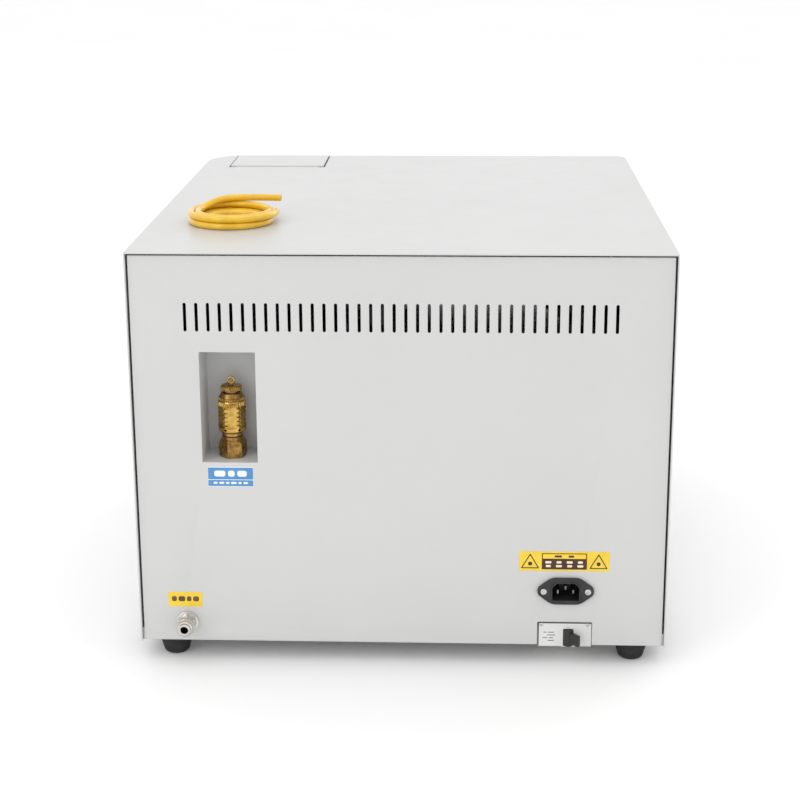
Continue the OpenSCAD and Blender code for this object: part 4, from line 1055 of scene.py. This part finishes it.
def make_heater():
    wall = [(0, 128.2), (0, 130.1)]
    for k in range(10):
        wall += [(2 + 14.6 * k, 130.5), (12 + 14.6 * k, 130.5), (12.6 + 14.6 * k, 130.0), (16 + 14.6 * k, 130.0)]
    wall = [q for q in wall if q[0] <= 148] + [(150, 130.1), (150, 128.2)]
    band = polar("heater_band", *around(-90), wall, 120, 30)
    terminal = box((CHAMBER_X + 60, -60, CHAMBER_Z - 127), (CHAMBER_X + 72, -30, CHAMBER_Z - 113), 1.2, 3)
    unit("heater_band_set", [band, terminal], "heater_jacket", nodes=("band_heater",))


def make_pipes():
    x0 = CHAMBER_X + 70
    z = CHAMBER_Z - 62
    path = bend([(x0, 215, z), (x0, 235, z), (POCKET_X, 235, z), (POCKET_X, VALVE_Y, z), (POCKET_X, VALVE_Y, 175.5)],
        11, 10)
    pipe = as_object("steam_line", sweep(path, 4.8, 24), 60)
    nut = limited(hexagon(8.6, 0), 8.3)
    nuts = [polar("n", at, d, [(0, 4.7), (0, 7), (0.8, nut), (h - 0.8, nut), (h, 7), (h, 4.7)], 60, 25)
        for at, d, h in (((x0, 214.5, z), BACK, 8), ((POCKET_X, VALVE_Y, 166.5), UP, 8.4))]
    place(pipe, "copper_pipe", nodes=("steam_pipe",))
    unit("steam_unions", nuts, "valve_brass")


# ---------- water system and fan ----------


def make_water():
    x0, x1, y0, y1, z0, z1 = 98, 226, -226, -70, 215, 376
    t = 2.5
    shell = box((x0, y0, z0), (x1, y1, z1), 5, 4, "tank_shell")
    cut(shell, [box((x0 + t, y0 + t, z0 + t), (x1 - t, y1 - t, z1 - t), 3.5, 4),
        box((110, y0 + t + 2, z1 - 5), (203, -174, z1 + 1), 0)], 35)
    place(shell, "tank_plastic", nodes=("water_tank",))
    ribs = [box((x0 - 0.4, y1 - 1.2, z0 + 26 + 28 * k), (x1 + 0.4, y1 + 0.6, z0 + 29 + 28 * k), 0.5, 2)
        for k in range(5)]
    unit("tank_ribs", ribs, "tank_plastic")
    levels = [box((x0 + 12, y1 - 0.4, z0 + 18 + 12 * k), (x0 + (22 if k % 3 else 30), y1 + 0.3, z0 + 19 + 12 * k),
        0.1, 1) for k in range(11)]
    unit("tank_level_marks", levels, "relay_blue", slot="tank_plastic")

    x, y, z = 150, 20, BASE_Z + 1.5
    foot = plate("pump_foot", oblong(x, y + 48, 48, 96, 4, 5), [circle(x + i * 19, y + j, 2.2, 16) for i in (-1, 1)
        for j in (8, 88)], z, z + 3, to_top, 0.6, 0.2)
    saddle = [box((x - 20, y + 12 + 34 * k, z + 2.5), (x + 20, y + 18 + 34 * k, z + 12), 1.2, 2) for k in (0, 1)]
    wall = [(0, 0), (0, 12), (0.6, 12.6), (1.4, 21), (3, 23), (8, 23)]
    for k in range(8):
        wall += [(9 + 4.6 * k, 23), (9.3 + 4.6 * k, 21.8), (12 + 4.6 * k, 21.8), (12.3 + 4.6 * k, 23)]
    wall += [(52, 23), (54, 21), (54, 17), (62, 17), (62, 0)]
    motor = polar("motor", (x, y + 6, z + 30), BACK, wall, 72, 30)
    head = box((x - 20, y + 68, z + 8), (x + 20, y + 92, z + 52), 3, 4)
    cover = box((x - 17, y + 91, z + 12), (x + 17, y + 94.4, z + 48), 1.4, 3)
    unit("pump_unit", [foot, *saddle, motor, head, cover], "pump_metal", nodes=("water_pump",))
    ports = [polar("p", (x + i * 10, y + 80, z + 51), UP, [(0, 1.6), (0, 5.2), (2, 5.2), (2.6, 3.4), (6, 3.4),
        (6.2, 4), (8.4, 3.2), (8.6, 4), (10.8, 3.2), (11, 4), (14.6, 2.8), (15, 1.6)], 28, 30) for i in (-1, 1)]
    unit("pump_ports", ports, "valve_brass")
    heads = [screw((x + i * 13, y + 94.2, z + 16 + 28 * j), BACK, 2.6, 1.2, turn=i + j) for i in (-1, 1)
        for j in (0, 1)]
    heads += [screw((x + i * 19, y + j, z + 3), UP, 3.4, 2, turn=i * 0.4) for i in (-1, 1) for j in (8, 88)]
    unit("pump_screws", heads, "screw_steel", slot="screw_steel")

    bodies, coils, tabs = [], [], []
    for vx in (120, 165):
        bodies.append(box((vx - 14, -54, z), (vx + 14, -26, z + 18), 1.6, 3))
        for i in (-1, 1):
            nut = limited(hexagon(7.6, 0), 7.3)
            bodies.append(polar("p", (vx + i * 13.5, -40, z + 9), (i, 0, 0),
                [(0, 0), (0, nut), (2.4, nut), (2.8, 5), (6.5, 5), (6.5, 3.4), (2, 3.4), (2, 0)], 48, 25))
        bodies.append(polar("t", (vx, -40, z + 17.5), UP, [(0, 0), (0, 5), (29.4, 5), (30, 4.2), (30, 0)], 36))
        coils.append(box((vx - 13, -51, z + 22), (vx + 13, -29, z + 46), 3.2, 4))
        tabs += [box((vx + q - 0.4, -29.6, z + 30), (vx + q + 0.4, -27.2, z + 36), 0.15, 1) for q in (-5, 5)]
    unit("solenoid_bodies", bodies, "valve_brass", nodes=("solenoid_valves",))
    unit("solenoid_coils", coils, "coil_black", slot="valve_brass")
    unit("solenoid_tabs", tabs, "tinned", slot="screw_steel")


def make_fan():
    cx, cy, cz = 20.0, 252.8 + 2.6, 326.0
    keep("fan_frame", "fan_housing", 0.6, "black_plastic", segments=3)
    hub = polar("h", (cx, cy, cz), BACK, [(0, 2.1), (0, 9.8), (0.5, 10.8), (1.5, 11), (14, 11), (14.8, 10.3),
        (15, 9.2), (15, 0), (10, 0), (10, 2.1)], 64, 30)
    steps = 8

    def blade_point(n, side, i, k):
        """A point of blade n: i steps out along it and k steps across it, on one of its two sides."""
        along, across = i / steps, k / steps
        r = 9.8 + 16.0 * along
        lean = radians(34 + 10 * along)
        chord = (across - 0.5) * 12.0
        edge = 2 * k / steps - 1
        lift = 1.3 * (1 - edge ** 2) + 0.62 * side * (1 - 0.75 * abs(edge) ** 3)
        a = TAU * n / 8 + (chord * cos(lean) + lift * sin(lean)) / r + 0.10 * along ** 2
        return cx + r * cos(a), cy + 7.5 + (chord * sin(lean) - lift * cos(lean)), cz + r * sin(a)

    blades = []
    for n in range(8):
        bm = bmesh.new()
        sides = [[[bm.verts.new(blade_point(n, side, i, k)) for k in range(steps + 1)] for i in range(steps + 1)]
            for side in (-1, 1)]
        for rows in sides:
            for i in range(steps):
                for k in range(steps):
                    bm.faces.new((rows[i][k], rows[i + 1][k], rows[i + 1][k + 1], rows[i][k + 1]))
        rim = [(i, 0) for i in range(steps + 1)] + [(steps, k) for k in range(1, steps + 1)]
        rim += [(i, steps) for i in range(steps - 1, -1, -1)] + [(0, k) for k in range(steps - 1, 0, -1)]
        bridge(bm, *([side[i][k] for i, k in rim] for side in sides))
        blades.append(as_object("blade", bm, 50))
    unit("fan_wheel", [hub, *blades], "black_plastic", "fan", ("fan_rotor",))


# ---------- remaining CAD nodes ----------

def make_rest():
    for row in (("chamber_cradles", "cradle_sheets", 0.5, "galvanised_steel"),
            ("tray_rack", "rack_frame", 0.3, "stainless_steel"),
            ("door_frame", "door_frame_steel", 0.8, "galvanised_steel", "door"),
            ("handle_spindle", "spindle_steel", 0.4, "screw_steel", "handle"),
            ("upper_lock_bolt", "upper_bolt_steel", 0.5, "screw_steel", "upper_bolt"),
            ("lower_lock_bolt", "lower_bolt_steel", 0.5, "screw_steel", "lower_bolt"),
            ("lock_keepers", "keeper_blocks", 1.0, "galvanised_steel"),
            ("hinge_brackets", "hinge_blocks", 0.8, "galvanised_steel"),
            ("hinge_pins", "hinge_pin_pair", 0.5, "screw_steel"), ("tray_1", "tray_low", 0.25, "stainless_steel"),
            ("tray_2", "tray_middle", 0.25, "stainless_steel"), ("tray_3", "tray_high", 0.25, "stainless_steel")):
        keep(*row)


# ---------- studio ----------


def make_studio():
    bm = bmesh.new()
    for x, y in ((-25, -25), (25, -25), (25, 25), (-25, 25)):
        bm.verts.new((x, y, -0.0004))
    bm.faces.new(bm.verts)
    floor = from_bmesh("studio_floor", bm)
    floor.data.materials.append(surface("floor", grey(0.955), grey(0.97), 0.8, 0.03, 1.5, 200))

    world = bpy.data.worlds.new("studio")
    world.use_nodes = True
    world.node_tree.nodes["Background"].inputs["Color"].default_value = (1.0, 1.0, 1.0, 1)
    world.node_tree.nodes["Background"].inputs["Strength"].default_value = 1.03
    scene.world = world

    def panel(name, at, look, size, power):
        light = bpy.data.lights.new(name, "AREA")
        light.shape, light.size, light.size_y, light.energy = "RECTANGLE", size[0], size[1], power
        obj = linked(name, light)
        obj.location = at
        obj.rotation_mode = "QUATERNION"
        obj.rotation_quaternion = (Vector(look) - Vector(at)).to_track_quat("-Z", "Y")

    panel("overhead", (0.2, 0.3, 2.6), (0, 0, 0.2), (2.6, 2.6), 7)
    panel("rear_left", (2.0, 2.6, 1.7), (0, 0.1, 0.2), (1.4, 1.8), 14)
    panel("front_right", (-2.2, -2.2, 1.6), (0, 0, 0.2), (1.6, 1.8), 10)
    scene.view_settings.view_transform = "Standard"
    scene.view_settings.look = "None"


make_camera()
make_hose()
make_casing()
make_valve()
make_labels()
make_rear_fittings()
make_door()
make_controls()
make_vessel()
make_sleeve()
make_heater()
make_pipes()
make_water()
make_fan()
make_rest()
make_studio()
